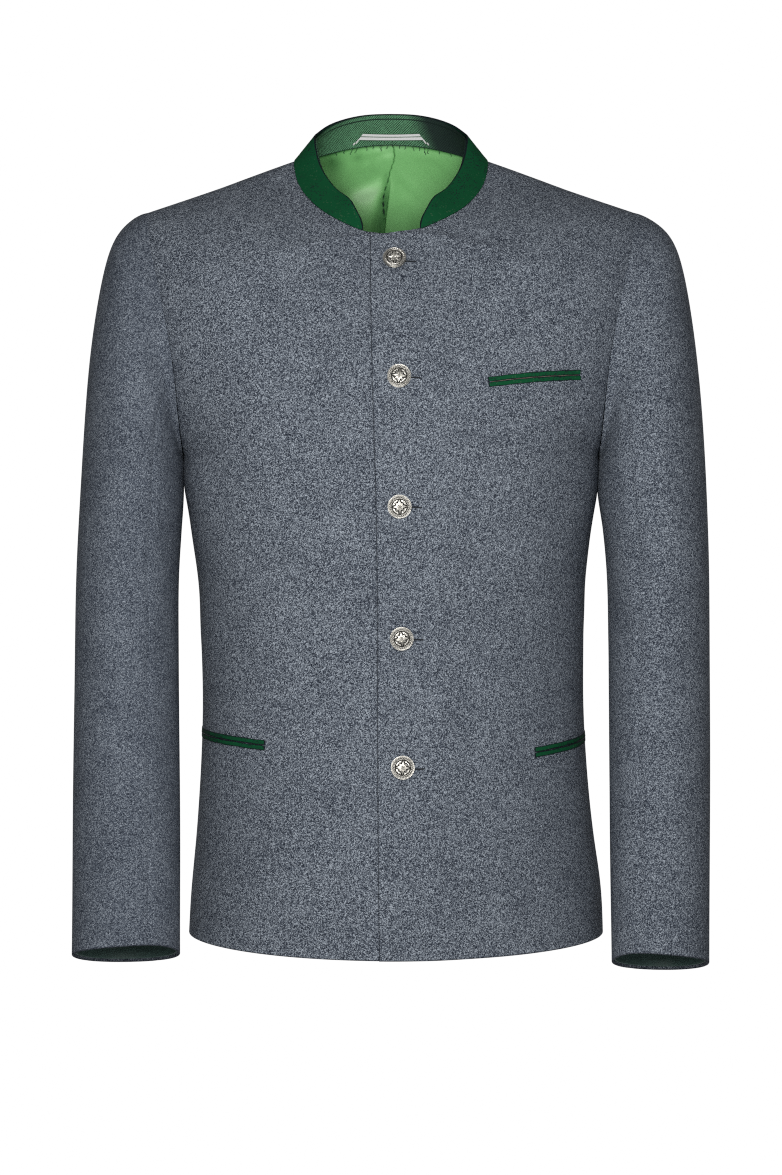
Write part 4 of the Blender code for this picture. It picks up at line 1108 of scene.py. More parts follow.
def tape_tacks(thread_size):
    """White stitches that hold the tape's ends: thick threads that rise off it as half a sine."""
    steps = 12
    parts = []
    for share in (-0.995, -0.90, 0.90, 0.995):
        line = tape_points(np.full(steps, share), np.linspace(-1.75, -0.85, steps),
                           np.linspace(-0.5, 0.6, steps))
        rise = np.sin(np.linspace(0, math.pi, steps))[:, None] * (0.0, -0.4, 0.0)
        parts.append(tube(line + rise, thread_size * 2.4))
    return join_parts(parts)


POCKET_END = 4.0  # how far a pocket stops before the side seam
LIP_MIDDLE = 2.35  # height of a lip's middle over the pocket's line
LIP_HALF_WIDTH = 2.1
LIP_AROUND = 28  # points round a lip's section


def pocket_line(word, share, offset, out, wall):
    """Points and directions on a front along a pocket, by share of its length and height beside
    its line, and the pocket's length."""
    (x, z, length, climb), side = POCKETS[word]
    row, across = find_on_front(np.array([x]), np.array([z]), side)
    reach = np.linspace(across[0], 1.0, 240)
    line, _ = on_front(np.full_like(reach, row[0]), reach, side, wall)
    run = run_along(line)
    stop = min(length, run[-1] - POCKET_END)
    along = np.interp(share * stop, run, reach)
    height = z + share * climb + offset + pocket_bow(word, share)
    low, high = np.full(along.shape, 0.0), np.full(along.shape, 10.0)
    for _ in range(34):
        middle = (low + high) / 2
        under = body_points(middle, along, 1, side)[..., 2] < height
        low, high = np.where(under, middle, low), np.where(under, high, middle)
    points, normals = on_front((low + high) / 2, along, side, wall, out)
    return points, normals, stop


def pocket_bow(word, share):
    """The slight bow and waver of a pocket's lips, in millimetres."""
    if word == "chest":
        return 1.6 * np.sin(np.pi * share) * (1 - 0.3 * share)
    return 0.5 * np.sin(2.3 * share + 0.4)


def pocket_lip(name, word, upper, wall, surface):
    """One lip: a folded strip of felt, its section a flattened oval carried along the pocket; a
    hip pocket's lip lies flatter towards the side."""
    length, side = POCKETS[word][0][2], POCKETS[word][1]
    share = fine_lines(0, 1, 120, length)
    turn = whole_turn(LIP_AROUND)
    shape = len(share), len(turn)
    squared = powered(np.cos(turn), 0.7)
    lift = powered(np.sin(turn), 0.9)
    from_end = (np.minimum(share, 1 - share) * length)[:, None]
    ends = np.maximum(quarter_round(from_end, 0.9), 0.15)
    waver = 0.12 * np.sin(share * 31 + (2 if upper else 0))[:, None]
    offset = LIP_MIDDLE * (1 if upper else -1) + waver
    offset = offset + LIP_HALF_WIDTH * squared * (0.9 + 0.1 * ends)
    flatter = 0.0 if word == "chest" else held((share - 0.35) / 0.4)[:, None]
    out = (0.75 + 0.95 * lift * ends) * (1 - 0.72 * flatter) + 0.1 * np.sin(share * 17)[:, None]
    grid_share = np.broadcast_to(share[:, None], shape)
    points, _, stop = pocket_line(word, grid_share, offset, out, wall)
    flat = points.reshape(-1, 3)
    low, high = len(flat), len(flat) + 1
    index = np.arange(len(flat)).reshape(shape)
    faces = ring_faces(*shape, flip=side < 0)
    caps = np.concatenate([fan(low, index[0], flip=True), fan(high, index[-1])])
    caps = caps[:, ::-1] if side < 0 else caps
    uv = place_on_cut(grid_share * stop, offset)
    uv = np.concatenate([uv, uv[:1], uv[-1:]])
    # painted shade: the edge number is low on the sides of each lip's oval section, where it turns
    # away, and at its ends, and the felt paints a blackish line there
    edge = np.minimum(0.45 + 1.45 * (1 - np.abs(np.cos(turn))), 0.5 + 0.7 * from_end)
    # denser dark specks towards a hip pocket's side: partly the felt's own specks, partly painted
    # shade
    specks = np.broadcast_to(0.12 if word == "chest" else flatter, shape)
    numbers = {"edge": np.concatenate([edge.ravel(), [0.5, 0.5]]),
               "specks": np.concatenate([specks.ravel(), specks[0, :1], specks[-1, :1]])}
    return make_mesh(name, np.concatenate([flat, [points[0].mean(0), points[-1].mean(0)]]),
                     [faces, caps], surface, uv, numbers)


def pocket_mouth(word, wall):
    """The thread between a pocket's lips, with a waver and uneven ribs."""
    share = np.linspace(0.03, 0.965, 160)
    points, normals, _ = pocket_line(word, share, 0.0, 0.30, wall)
    waver = 0.14 * np.sin(share * 47)[:, None] * (0.0, 0.0, 1.0)
    ribs = 0.8 + 0.2 * np.sin(np.arange(len(share)) * 1.9)
    return tube(points + waver, 0.42, ribs=ribs, up=normals)


# ------ buttons and thread

BUTTON_SHARE = 0.953  # of the face's own measure, so that the button is 20.2 mm across
FACE_RADIUS = 10.6  # in that measure, as are the other radii
BUTTON_BACK = np.array([  # radius, height: from the face's edge to the shank's foot
    (10.62, 4.3), (10.3, 3.75), (9.4, 3.3), (2.3, 3.05), (2.0, 2.7), (2.0, 0.35),
])
BUTTON_AROUND = 180
PETAL_TURN = math.pi / 4
LONG_PETAL, SHORT_PETAL = 6.7, 5.3
PETAL_START = 1.3


def flower_relief(radius, turn):
    """A plain mountain flower seen from above: eight pointed petals, long and short by turns,
    each with a groove down its middle, round a head of small beads."""
    petal = np.mod(turn + PETAL_TURN / 2, PETAL_TURN) - PETAL_TURN / 2
    number = np.floor((turn + PETAL_TURN / 2) / PETAL_TURN)
    tip = np.where(np.mod(number, 2) < 0.5, LONG_PETAL, SHORT_PETAL)
    share = held((radius - PETAL_START) / (tip - PETAL_START))
    half_width = 1.25 * np.sin(np.pi * share ** 0.75) + 0.05
    aside = np.abs(petal) * radius
    inside = held((half_width - aside) / 0.35) * (radius < tip) * (radius > 1.2)
    groove = 0.55 * hump(aside, 0.22)
    petals = inside * (0.62 - 0.25 * share) * (1 - groove)
    hollow = hump(aside - half_width - 0.45, 0.3) * (radius < tip) * (radius > 1.6)
    ring = np.sin(turn * 6) * 0.5 + 0.5
    beads = 0.6 * hump(radius - 1.25, 0.42) * (0.35 + 0.65 * ring)
    heart = 0.75 * hump(radius, 0.55)
    return np.maximum(petals, beads + heart) - 0.3 * hollow * (inside < 0.05)


def button_face(radius, turn, strength):
    """Height of the button's face: a low dome, a field with the flower, a beaded ring, a rope
    border and a round rim; and how much of it is raised work."""
    dome = 4.75 + 1.05 * (1 - (radius / FACE_RADIUS) ** 2)
    field = held((7.45 - radius) / 0.3)
    hammered = np.sin(radius * 5.3 + 2 * np.sin(5 * turn)) * np.sin(turn * 19 + radius * 5)
    flower = flower_relief(radius, turn)
    work = np.where(flower < -0.02, flower, np.maximum(flower, 0.14 + 0.10 * hammered))
    raised = field * work - 0.4 * hump(radius - 6.95, 0.3)
    bead = 0.42 * hump(radius - 7.6, 0.28)
    rope = hump(radius - 8.65, 0.62) * (0.22 + 0.30 * np.sin(30 * turn + 3.4 * radius))
    rim = 0.50 * hump(radius - 9.85, 0.42)
    raised = raised + bead + held(rope) + rim
    fall = 1.5 * held((radius - 9.9) / 0.7) ** 2
    return dome - 0.30 * field + strength * raised - fall, raised


def button(name, x, z, turned, wall, surface, strength):
    """A domed button: polar rings of its face, then its edge, back and shank, turned round the
    direction that the front has there."""
    row, across = find_on_front(np.array([x]), np.array([z]), 1)
    foot, axis = (found[0] for found in on_front(row, across, 1, wall))
    side = unit(np.cross((0.0, 0.0, 1.0), axis))
    up = np.cross(axis, side)
    turn = whole_turn(BUTTON_AROUND)
    radii = np.concatenate([np.linspace(0.25, 7.2, 38), np.linspace(7.3, FACE_RADIUS, 26)])
    grid_radius, grid_turn = np.meshgrid(radii, turn, indexing="ij")
    height, raised = button_face(grid_radius, grid_turn, strength)
    back = np.repeat(BUTTON_BACK[:, None], BUTTON_AROUND, 1)
    radius = np.concatenate([grid_radius, back[..., 0]])[..., None] * BUTTON_SHARE
    out = np.concatenate([height, back[..., 1]])[..., None]
    raised = np.concatenate([raised, np.full(back.shape[:2], 0.3)])
    spoke = (turn + math.radians(turned))[:, None]
    flat = radius * (np.cos(spoke) * side + np.sin(spoke) * up) + out * axis
    points = np.concatenate([(flat + foot).reshape(-1, 3),
                             [foot + axis * height[0].mean(), foot + axis * 0.3]])
    index = np.arange(raised.size).reshape(raised.shape)
    top, bottom = raised.size, raised.size + 1
    faces = ring_faces(*raised.shape, flip=True)
    caps = np.concatenate([fan(top, index[0]), fan(bottom, index[-1], flip=True)])
    numbers = {"relief": np.concatenate([raised.ravel(), [0.8, 0.2]])}
    return make_mesh(name, points, [faces, caps], surface, None, numbers)


HOLE_HALF_LENGTH = 10.2
HOLE_MIDDLE = 8.6  # from the button's middle towards the side
HOLE_DROP = 0.9
HOLE_STEPS = 300
STITCH_STEP = 0.62
STEPS_PER_STITCH = 5


def hole_path(x, z, wall, out, inset=0.0):
    """The loop round a buttonhole, with its directions: a long narrow slot, a little wider at
    its far end."""
    turn = whole_turn(HOLE_STEPS)
    half = HOLE_HALF_LENGTH - inset
    along = half * powered(np.cos(turn), 0.8)
    wide = (0.42 - 0.5 * inset) + 0.25 * held(along / half) ** 4
    up = wide * powered(np.sin(turn), 0.5)
    waver = 0.25 * np.sin(along / 3.7 + x) - 0.02 * along
    row, across = find_on_front(x + HOLE_MIDDLE + along, z + up + waver - HOLE_DROP, 1)
    return on_front(row, across, 1, wall, out)


def buttonhole(x, z, wall):
    """Buttonhole stitches: a ribbed thread round the slot, one rib for each stitch."""
    path, normals = (np.concatenate([line, line[:1]]) for line in hole_path(x, z, wall, 0.02))
    run = run_along(path)
    stitches = round(run[-2] / STITCH_STEP)
    dense = np.linspace(0, run[-1], stitches * STEPS_PER_STITCH, endpoint=False)
    ribs = 0.82 + 0.22 * np.abs(np.sin(np.arange(len(dense)) * math.pi / STEPS_PER_STITCH))
    return tube(points_at(dense, run, path), 0.30, ribs=ribs, flat=0.9,
                up=points_at(dense, run, normals), closed=True)


def slot_faces(x, z, wall):
    """Painted shade inside a buttonhole: a narrow near-black strip between the two rows of
    stitches.
    """
    path, _ = hole_path(x, z, wall, 0.10, inset=0.3)
    half = len(path) // 2
    upper, lower = path[:half + 1], np.concatenate([path[:1], path[:half - 1:-1]])
    points = np.stack([lower, (lower + upper) / 2, upper], 1).reshape(-1, 3)
    return points, [grid_faces(half + 1, 3, flip=True)]


# ------ finishes

def math_node(operation, turned_round=False):
    """An operator of two values, or of one, that adds one Math node."""
    def joined(value, other=0.0):
        first, second = (other, value) if turned_round else (value, other)
        return value.finish.node("ShaderNodeMath", {"operation": operation}, {0: first, 1: second})
    return joined


class Value:
    """A node's output that takes part in sums: each operator adds one Math node."""
    __add__ = math_node("ADD")
    __sub__ = math_node("SUBTRACT")
    __rsub__ = math_node("SUBTRACT", turned_round=True)
    __mul__ = math_node("MULTIPLY")
    __abs__ = math_node("ABSOLUTE")

    def __init__(self, finish, socket):
        self.finish, self.socket = finish, socket


class Finish:
    """One material with a Principled shader, and the nodes that feed it."""

    def __init__(self, name, roughness, metallic=0.0, sheen=0.0):
        self.material = bpy.data.materials.new(name)
        self.material.use_nodes = True
        self.tree = self.material.node_tree
        self.shader = self.tree.nodes["Principled BSDF"]
        self.shader.inputs["Roughness"].default_value = roughness
        self.shader.inputs["Metallic"].default_value = metallic
        self.shader.inputs["Sheen Weight"].default_value = sheen

    def node(self, kind, settings=None, sockets=None, output=0):
        """A node of a type, its settings first, then the values or links of its sockets."""
        made = self.tree.nodes.new(kind)
        for word, value in (settings or {}).items():
            if word == "stops":
                ramp = made.color_ramp.elements
                while len(ramp) < len(value):
                    ramp.new(0.5)
                for element, (place, colour) in zip(ramp, value):
                    element.position, element.color = place, (*colour, 1)
            else:
                setattr(made, word, value)
        for word, value in (sockets or {}).items():
            self.feed(made.inputs[word], value)
        return Value(self, made.outputs[output])

    def feed(self, socket, value):
        """Links a value to a socket, or sets the socket's number or colour."""
        if isinstance(value, Value):
            self.tree.links.new(value.socket, socket)
        else:
            socket.default_value = value

    def shade(self, word, value):
        self.feed(self.shader.inputs[word], value)
        return self

    def place(self):
        return self.node("ShaderNodeTexCoord", output="Object")

    def cut(self):
        return self.node("ShaderNodeUVMap", {"uv_map": "cut"})

    def number(self, word):
        return self.node("ShaderNodeAttribute", {"attribute_name": word}, output="Fac")

    def noise(self, where, scale, detail=2.0, rough=0.5, warp=0.0):
        return self.node("ShaderNodeTexNoise", None, {
            "Vector": where, "Scale": scale, "Detail": detail, "Roughness": rough,
            "Distortion": warp})

    def cells(self, where, scale):
        """Small cells, each with one random lightness from 0 to 1."""
        tint = self.node("ShaderNodeTexVoronoi", None, {"Vector": where, "Scale": scale},
                         output="Color")
        return self.axis(tint, "X")

    def warped(self, where, scale, reach):
        """The place moved about by a noise, by up to half the reach."""
        push = self.node("ShaderNodeTexNoise", None, {"Vector": where, "Scale": scale},
                         output="Color")
        centred = self.node("ShaderNodeVectorMath", {"operation": "SUBTRACT"},
                            {0: push, 1: (0.5, 0.5, 0.5)})
        moved = self.node("ShaderNodeVectorMath", {"operation": "SCALE"},
                          {0: centred, "Scale": reach * 2})
        return self.node("ShaderNodeVectorMath", {"operation": "ADD"}, {0: where, 1: moved})

    def step(self, value, low, high):
        return self.node("ShaderNodeMapRange", {"interpolation_type": "SMOOTHSTEP"}, {
            "Value": value, "From Min": low, "From Max": high})

    def ramp(self, value, stops):
        return self.node("ShaderNodeValToRGB", {"stops": stops}, {"Fac": value})

    def blend(self, factor, first, second):
        first = first if isinstance(first, Value) else (*first, 1)
        second = second if isinstance(second, Value) else (*second, 1)
        return self.node("ShaderNodeMix", {"data_type": "RGBA"}, {0: factor, 6: first, 7: second},
                         output=2)

    def turned(self, where, angle=0.0, scale=(1, 1, 1)):
        return self.node("ShaderNodeMapping", None, {
            "Vector": where, "Rotation": (0, 0, math.radians(angle)), "Scale": scale})

    def drawn_out(self, where, turned, times):
        """The place turned, then pressed together along its third axis, so that what is laid
        over it comes out longer that way."""
        turns = tuple(math.radians(angle) for angle in turned)
        return self.node("ShaderNodeMapping", {"vector_type": "TEXTURE"}, {
            "Vector": where, "Rotation": turns, "Scale": (1.0, 1.0, times)})

    def axis(self, where, word):
        return self.node("ShaderNodeSeparateXYZ", None, {"Vector": where}, output=word)

    def wave(self, value, length):
        """A sine of the value, from 0 to 1, with the given wave length."""
        return self.node("ShaderNodeMath", {"operation": "SINE"},
                         {0: value * (2 * math.pi / length)}) * 0.5 + 0.5

    def bump(self, height, strength, distance):
        return self.shade("Normal", self.node("ShaderNodeBump", None, {
            "Height": height, "Strength": strength, "Distance": distance}))


def scaled(colour, factor):
    """A colour made lighter or darker."""
    return tuple(channel * factor for channel in colour)


def milled_loden(colours):
    """Milled wool of light, mid and dark fibres: two sets of small warped cells, drawn out in
    crossing directions, each with its own lightness, and thin winding hairs over them."""
    cloth = Finish("milled_loden", 0.95)
    cloth.shade("Specular IOR Level", 0.15)
    where = cloth.place()
    density = colours.fibre_density
    bent = cloth.warped(where, density * 0.8, 0.0005)
    rising = cloth.cells(cloth.drawn_out(bent, (20, 38, 0), 1.6), density * 1.4)
    falling = cloth.cells(cloth.drawn_out(bent, (-25, -52, 10), 1.6), density * 1.55)
    grain = cloth.noise(where, density * 1.9, 2.0, 0.6)
    drift = cloth.noise(where, 26.0, 3.0, 0.55)
    hair = abs(cloth.noise(where, density * 0.7, 1.0, 0.5, 1.2) - 0.5)
    light_hair = 1 - cloth.step(hair, 0.0, 0.016)
    mixed = (rising - 0.5) * 0.48 + (falling - 0.5) * 0.36 + (grain - 0.5) * 0.40
    pick = mixed * (1 - cloth.number("calm")) + (drift - 0.5) * 0.12 + 0.485
    dark, middle, light = (tuple(colours.dark_fibre), tuple(colours.middle_fibre),
                           tuple(colours.light_fibre))
    colour = cloth.ramp(pick, ((0.12, scaled(dark, 0.7)), (0.32, dark), (0.50, middle),
                               (0.72, scaled(light, 0.72)), (0.92, light)))
    colour = cloth.blend(light_hair * 0.18, colour, light)
    # painted shade: the cloth is darkened within about 1.5 mm of its free edges, along the front
    # edge, the hem and the cuffs
    rim = 1 - cloth.step(cloth.number("edge"), 0.35, 1.5)
    cloth.shade("Base Color", cloth.blend(rim * 0.62, colour, scaled(dark, 0.6)))
    cloth.bump(pick, 0.28, 0.0005)
    return cloth.material


def wool_felt(colours):
    """Dense dark green felt: an even colour with small dark and a few pale specks in patches, and a
    blackish line of painted shade where its edges turn away."""
    felt = Finish("green_felt", 0.95)
    felt.shade("Specular IOR Level", 0.08)
    where = felt.place()
    grain = felt.noise(where, 1000.0, 3.0, 0.7)
    drift = felt.noise(where, 38.0, 2.0, 0.5)
    base = tuple(colours.felt)
    # the specks number adds dark specks on a hip pocket's lips towards the side: partly the felt's
    # own specks, partly painted shade
    more = felt.number("specks")
    dark_specks = (felt.step(felt.cells(where, 1100.0) + more * 0.55, 0.82, 0.86)
                   * felt.step(drift + more * 0.5, 0.47, 0.60))
    pale_specks = (felt.step(felt.cells(felt.turned(where, 20), 1000.0), 0.93, 0.95)
                   * felt.step(drift, 0.58, 0.42))
    colour = felt.blend(grain, scaled(base, 0.85), scaled(base, 1.15))
    colour = felt.blend(dark_specks * 0.85, colour, (0.012, 0.022, 0.024))
    colour = felt.blend(pale_specks * 0.45, colour, (0.070, 0.140, 0.080))
    # painted shade: a blackish line near the edges, on the pocket lips along the sides and ends of
    # their oval section
    rim = 1 - felt.step(felt.number("edge"), 0.75, 1.25)
    felt.shade("Base Color", felt.blend(rim, colour, (0.010, 0.016, 0.020)))
    felt.bump(grain, 0.4, 0.0003)
    return felt.material


def birdseye(colours):
    """A small dot weave: two crossing sine waves on the cut make rows of green dots on dark;
    the cloth's right end lies in shade, and a row of stitches runs under its upper edge."""
    weave = Finish("birdseye_weave", 0.75)
    weave.shade("Specular IOR Level", 0.2)
    cut = weave.turned(weave.cut(), 41)
    across, up = weave.axis(cut, "X"), weave.axis(cut, "Y")
    wobble = weave.noise(weave.place(), 800.0, 2.0, 0.6)
    patch = weave.noise(weave.place(), 60.0, 2.0, 0.5)
    dots = weave.wave(across, 0.00135) * 0.5 + weave.wave(up, 0.0016) * 0.5 + (wobble - 0.5) * 0.8
    mask = weave.step(dots, 0.30, 0.66)
    base = tuple(colours.facing)
    colour = weave.blend(mask, scaled(base, 0.14), scaled(base, 1.75))
    colour = weave.blend((patch - 0.3) * 0.7, colour, scaled(base, 0.45))
    colour = weave.blend(weave.number("tone"), colour, (0.012, 0.020, 0.022))
    line = abs(weave.axis(weave.cut(), "Y") - 0.0238)
    stitched = (1 - weave.step(line, 0.0003, 0.0008)) * 0.9
    colour = weave.blend(stitched, colour, (0.008, 0.020, 0.016))
    # painted shade: the weave is darkened within about a millimetre of its edges
    rim = 1 - weave.step(weave.number("edge"), 0.3, 0.9)
    weave.shade("Base Color", weave.blend(rim * 0.8, colour, (0.008, 0.018, 0.018)))
    weave.bump(mask * 0.7 + wobble * 0.3, 0.5, 0.0003)
    return weave.material


def satin(colours):
    """Satin lining: fine twill streaks across the cut, with painted shine and shade from its pleat
    and creases, which make it lighter and darker."""
    lining = Finish("green_satin", 0.42)
    lining.shade("Specular IOR Level", 0.18)
    cut = lining.turned(lining.cut(), 14, (1.0, 6.0, 1.0))
    streak = lining.noise(cut, 520.0, 3.0, 0.65)
    speckle = lining.noise(lining.place(), 900.0, 2.0, 0.6)
    patch = lining.noise(lining.place(), 30.0, 2.0, 0.5)
    tone = lining.number("tone") + (patch - 0.5) * 0.14 + (streak - 0.5) * 0.30
    tone = tone + (speckle - 0.5) * 0.30
    base = tuple(colours.lining)
    colour = lining.ramp(tone * 0.5 + 0.5, (
        (0.05, (0.010, 0.028, 0.018)), (0.22, (0.055, 0.200, 0.055)),
        (0.50, base), (0.64, (0.405, 0.850, 0.350)), (0.80, (0.56, 0.97, 0.50))))
    lining.shade("Base Color", colour)
    lining.bump(streak, 0.2, 0.0002)
    return lining.material


def dark_satin(colours):
    """The cuffs' dark lining, with a fine slanting twill."""
    lining = Finish("dark_satin", 0.5)
    twill = lining.wave(lining.axis(lining.turned(lining.cut(), 30), "X"), 0.0009)
    cloudy = lining.noise(lining.place(), 260.0, 2.0, 0.6)
    base = tuple(colours.cuff_lining)
    lining.shade("Base Color", lining.blend(twill * 0.2 + cloudy * 0.5, scaled(base, 0.8),
                                            scaled(base, 1.5)))
    lining.bump(twill, 0.1, 0.0002)
    return lining.material


def striped_tape(colours):
    """Woven tape: two white stripes along a green ground, ribbed across."""
    tape = Finish("striped_tape", 0.75)
    along, across = tape.axis(tape.cut(), "X"), tape.axis(tape.cut(), "Y")
    rib = tape.wave(along, 0.00075)
    first = 1 - tape.step(abs(across - 0.00170), 0.00100, 0.00120)
    second = 1 - tape.step(abs(across + 0.00155), 0.00125, 0.00145)
    white = tape.node("ShaderNodeMath", {"operation": "MAXIMUM"}, {0: first, 1: second})
    base = tuple(colours.facing)
    ground = tape.blend(rib, scaled(base, 0.25), scaled(base, 0.9))
    bright = tape.blend(rib, (0.80, 0.81, 0.80), (0.98, 0.98, 0.97))
    tape.shade("Base Color", tape.blend(white, ground, bright))
    tape.bump(rib * 0.6 + white * 0.4, 0.6, 0.0003)
    return tape.material


def thread(name, colour, roughness=0.8):
    """Twisted thread: darker between the fine slanting strands."""
    twist = Finish(name, roughness)
    strand = twist.noise(twist.place(), 2600.0, 2.0, 0.6)
    twist.shade("Base Color", twist.blend(strand, scaled(colour, 0.55), scaled(colour, 1.4)))
    twist.bump(strand, 0.4, 0.0001)
    return twist.material


def antique_silver(colours):
    """Cast metal with black left in the hollows: the raised work is polished, the rest is dark."""
    metal = Finish("antique_silver", 0.34, 1.0)
    raised = metal.number("relief")
    fleck = metal.noise(metal.place(), 1300.0, 3.0, 0.65)
    polish = metal.step(raised + (fleck - 0.5) * 0.4, -0.08, 0.24)
    base = tuple(colours.metal)
    metal.shade("Base Color", metal.blend(polish, scaled(base, 0.06), base))
    metal.shade("Roughness", 0.50 - polish * 0.16 + (fleck - 0.5) * 0.15)
    metal.bump(fleck, 0.25, 0.0001)
    return metal.material


def pale_floor():
    """Smooth pale floor with a barely seen cloudiness."""
    floor = Finish("pale_floor", 0.7)
    cloudy = floor.noise(floor.place(), 1.2, 2.0, 0.5)
    floor.shade("Base Color", floor.blend(cloudy, (0.84, 0.84, 0.84), (0.90, 0.90, 0.90)))
    return floor.material


FINISHES = {
    "milled_loden": milled_loden, "green_felt": wool_felt, "birdseye_weave": birdseye,
    "green_satin": satin, "dark_satin": dark_satin, "striped_tape": striped_tape,
    "antique_silver": antique_silver,
}
THREADS = {
    "dark_thread": (0.030, 0.036, 0.046), "grey_thread": (0.010, 0.014, 0.020),
    # the slit's near-black is painted shade inside the buttonholes
    "slit_shade": (0.004, 0.006, 0.009), "green_thread": (0.016, 0.075, 0.035),
    "white_thread": (0.82, 0.83, 0.80), "brown_thread": (0.20, 0.17, 0.13),
}


def finish(name):
    """The material of that name, made when it is first asked for."""
    known = bpy.data.materials.get(name)
    if name in THREADS:
        return known or thread(name, THREADS[name])
    return known or FINISHES[name](bpy.context.scene.jacket_colours)


# ------ sizes and colours to change

def tint(name, description, default):
    """A colour to change."""
    return FloatVectorProperty(name=name, description=description, subtype="COLOR", size=3,
                               min=0.0, max=1.0, default=default)


def amount(name, description, default, low, high, unit="NONE"):
    """A number to change, with its limits; a length or a power has a unit."""
    return FloatProperty(name=name, description=description, default=default, min=low, max=high,
                         unit=unit)


class JacketCloth(bpy.types.PropertyGroup):
    """Sizes of the cloth and of what is sewn to it."""
    wall: amount("Loden thickness", "Thickness of the milled wool", 0.002, 0.001, 0.003, "LENGTH")
    seam_depth: amount("Seam depth", "How far the cloth sinks at a seam", 0.0007, 0.0, 0.002,
                       "LENGTH")
    fold_strength: amount("Folds", "Strength of the soft folds", 1.0, 0.0, 2.0)
    felt_wall: amount("Felt thickness", "Thickness of the collar's felt", 0.0016, 0.001, 0.003,
                      "LENGTH")
    relief: amount("Button relief", "Strength of the buttons' raised work", 1.0, 0.0, 1.6)
    thread: amount("Thread", "Radius of the sewing thread", 0.00032, 0.0001, 0.0006, "LENGTH")


class JacketColours(bpy.types.PropertyGroup):
    """Colours of the cloth and trim."""
    dark_fibre: tint("Dark fibre", "Darkest fibres of the loden", (0.016, 0.021, 0.034))
    middle_fibre: tint("Middle fibre", "Ground of the loden", (0.086, 0.104, 0.136))
    light_fibre: tint("Light fibre", "Palest fibres of the loden", (0.540, 0.600, 0.670))
    fibre_density: amount("Fibre density", "Fibres to a metre of cloth", 1350.0, 200.0, 2000.0)
    felt: tint("Felt", "Collar and pocket lips", (0.0062, 0.0840, 0.0310))
    facing: tint("Facing", "Dots of the collar's facing", (0.094, 0.245, 0.130))
    lining: tint("Lining", "Satin lining", (0.255, 0.640, 0.220))
    cuff_lining: tint("Cuff lining", "Dark lining of the cuffs", (0.070, 0.125, 0.112))
    metal: tint("Metal", "Raised parts of the buttons", (0.62, 0.60, 0.55))


class JacketStage(bpy.types.PropertyGroup):
    """The studio round the jacket."""
    floor_height: amount("Floor height", "Height of the floor", -1.45, -5.0, 0.0, "LENGTH")
    camera_distance: amount("Camera distance", "From the neck opening", 3.0, 0.5, 20.0, "LENGTH")
    camera_height: amount("Camera height", "Against the neck opening", -0.382, -5.0, 5.0, "LENGTH")
    key_power: amount("Key light", "Power of the light near the chest", 14.0, 0.0, 500.0, "POWER")
    fill_power: amount("Fill light", "Power of the fill lights", 5.6, 0.0, 500.0, "POWER")
    ambient: amount("Ambient", "Light from all round", 0.09, 0.0, 2.0)


LAYER_GAP = 0.4  # between the loden and the linings of the cuffs
CUFF_LINING_RINGS = (11.0, 11.965)
CUFF_LINING_LENGTH = 74.0
CUFF_LINING_WALL = 1.0
FACING_GAP = 0.75
FACING_WALL = 1.0
BUTTON_TURNS = (4.0, -7.0, 3.0, 9.0, -3.0)  # how far each button is turned, in degrees


def keep(piece, nodes):
    """Fixes a finished piece to the body, in place of the named solids, which it hides."""
    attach(piece, BODY)
    if nodes:
        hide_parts(*nodes)


# ------ operators

class JACKET_OT_body(bpy.types.Operator):
    """Make both fronts and the back"""
    bl_idname = "jacket.body"
    bl_label = "Fronts and back"

    def execute(self, context):
        wall, loden = cloth_mm("wall"), finish("milled_loden")
        keep(front_panel("front_left_cloth", 1, wall, loden), ["front_left"])
        keep(front_panel("front_right_cloth", -1, wall, loden), ["front_right"])
        keep(back_panel("back_cloth", wall, loden), ["back"])
        return {"FINISHED"}


class JACKET_OT_sleeves(bpy.types.Operator):
    """Make the upper and under sleeves"""
    bl_idname = "jacket.sleeves"
    bl_label = "Sleeves"

    def execute(self, context):
        wall, loden = cloth_mm("wall"), finish("milled_loden")
        rings = np.unique(np.concatenate([
            fine_lines(0, 3, 54, 70, at_stop=False),
            fine_lines(3, LAST_RING, 150, 640, at_start=False)]))
        upper = BACK_SLEEVE_SEAM, FRONT_SLEEVE_SEAM, 68
        under = FRONT_SLEEVE_SEAM, 360 + BACK_SLEEVE_SEAM, 36
        for word, side in (("left", 1), ("right", -1)):
            top = sleeve_piece(f"upper_sleeve_{word}_cloth", side, *upper, rings, wall, 0, loden)
            keep(top, [f"upper_sleeve_{word}"])
            low = sleeve_piece(f"under_sleeve_{word}_cloth", side, *under, rings, wall, 0, loden)
            keep(low, [f"under_sleeve_{word}"])
        return {"FINISHED"}


class JACKET_OT_cuff_linings(bpy.types.Operator):
    """Make the dark linings inside the cuffs"""
    bl_idname = "jacket.cuff_linings"
    bl_label = "Cuff linings"

    def execute(self, context):
        dark = finish("dark_satin")
        depth = cloth_mm("wall") + LAYER_GAP
        rings = fine_lines(*CUFF_LINING_RINGS, 30, CUFF_LINING_LENGTH)
        for word, side in (("left", 1), ("right", -1)):
            tube_piece = sleeve_piece(f"cuff_lining_{word}_cloth", side, 0, 360, 110, rings,
                                      CUFF_LINING_WALL, depth, dark, seam=False, whole=True)
            keep(tube_piece, [f"cuff_lining_{word}_front", f"cuff_lining_{word}_back"])
        return {"FINISHED"}


class JACKET_OT_collar(bpy.types.Operator):
    """Make the standing collar with its facing"""
    bl_idname = "jacket.collar"
    bl_label = "Collar"

    def execute(self, context):
        wall, felt_wall = cloth_mm("wall"), cloth_mm("felt_wall")
        collar = collar_layer("collar_felt", 0.0, 1.0, 0.0, 0.0, felt_wall, wall,
                              finish("green_felt"), True)
        keep(collar, ["collar"])
        facing = collar_layer("collar_facing_cloth", 0.05, 0.985, 1.0, felt_wall + FACING_GAP,
                              FACING_WALL, wall, finish("birdseye_weave"), False)
        keep(facing, ["collar_facing"])
        return {"FINISHED"}


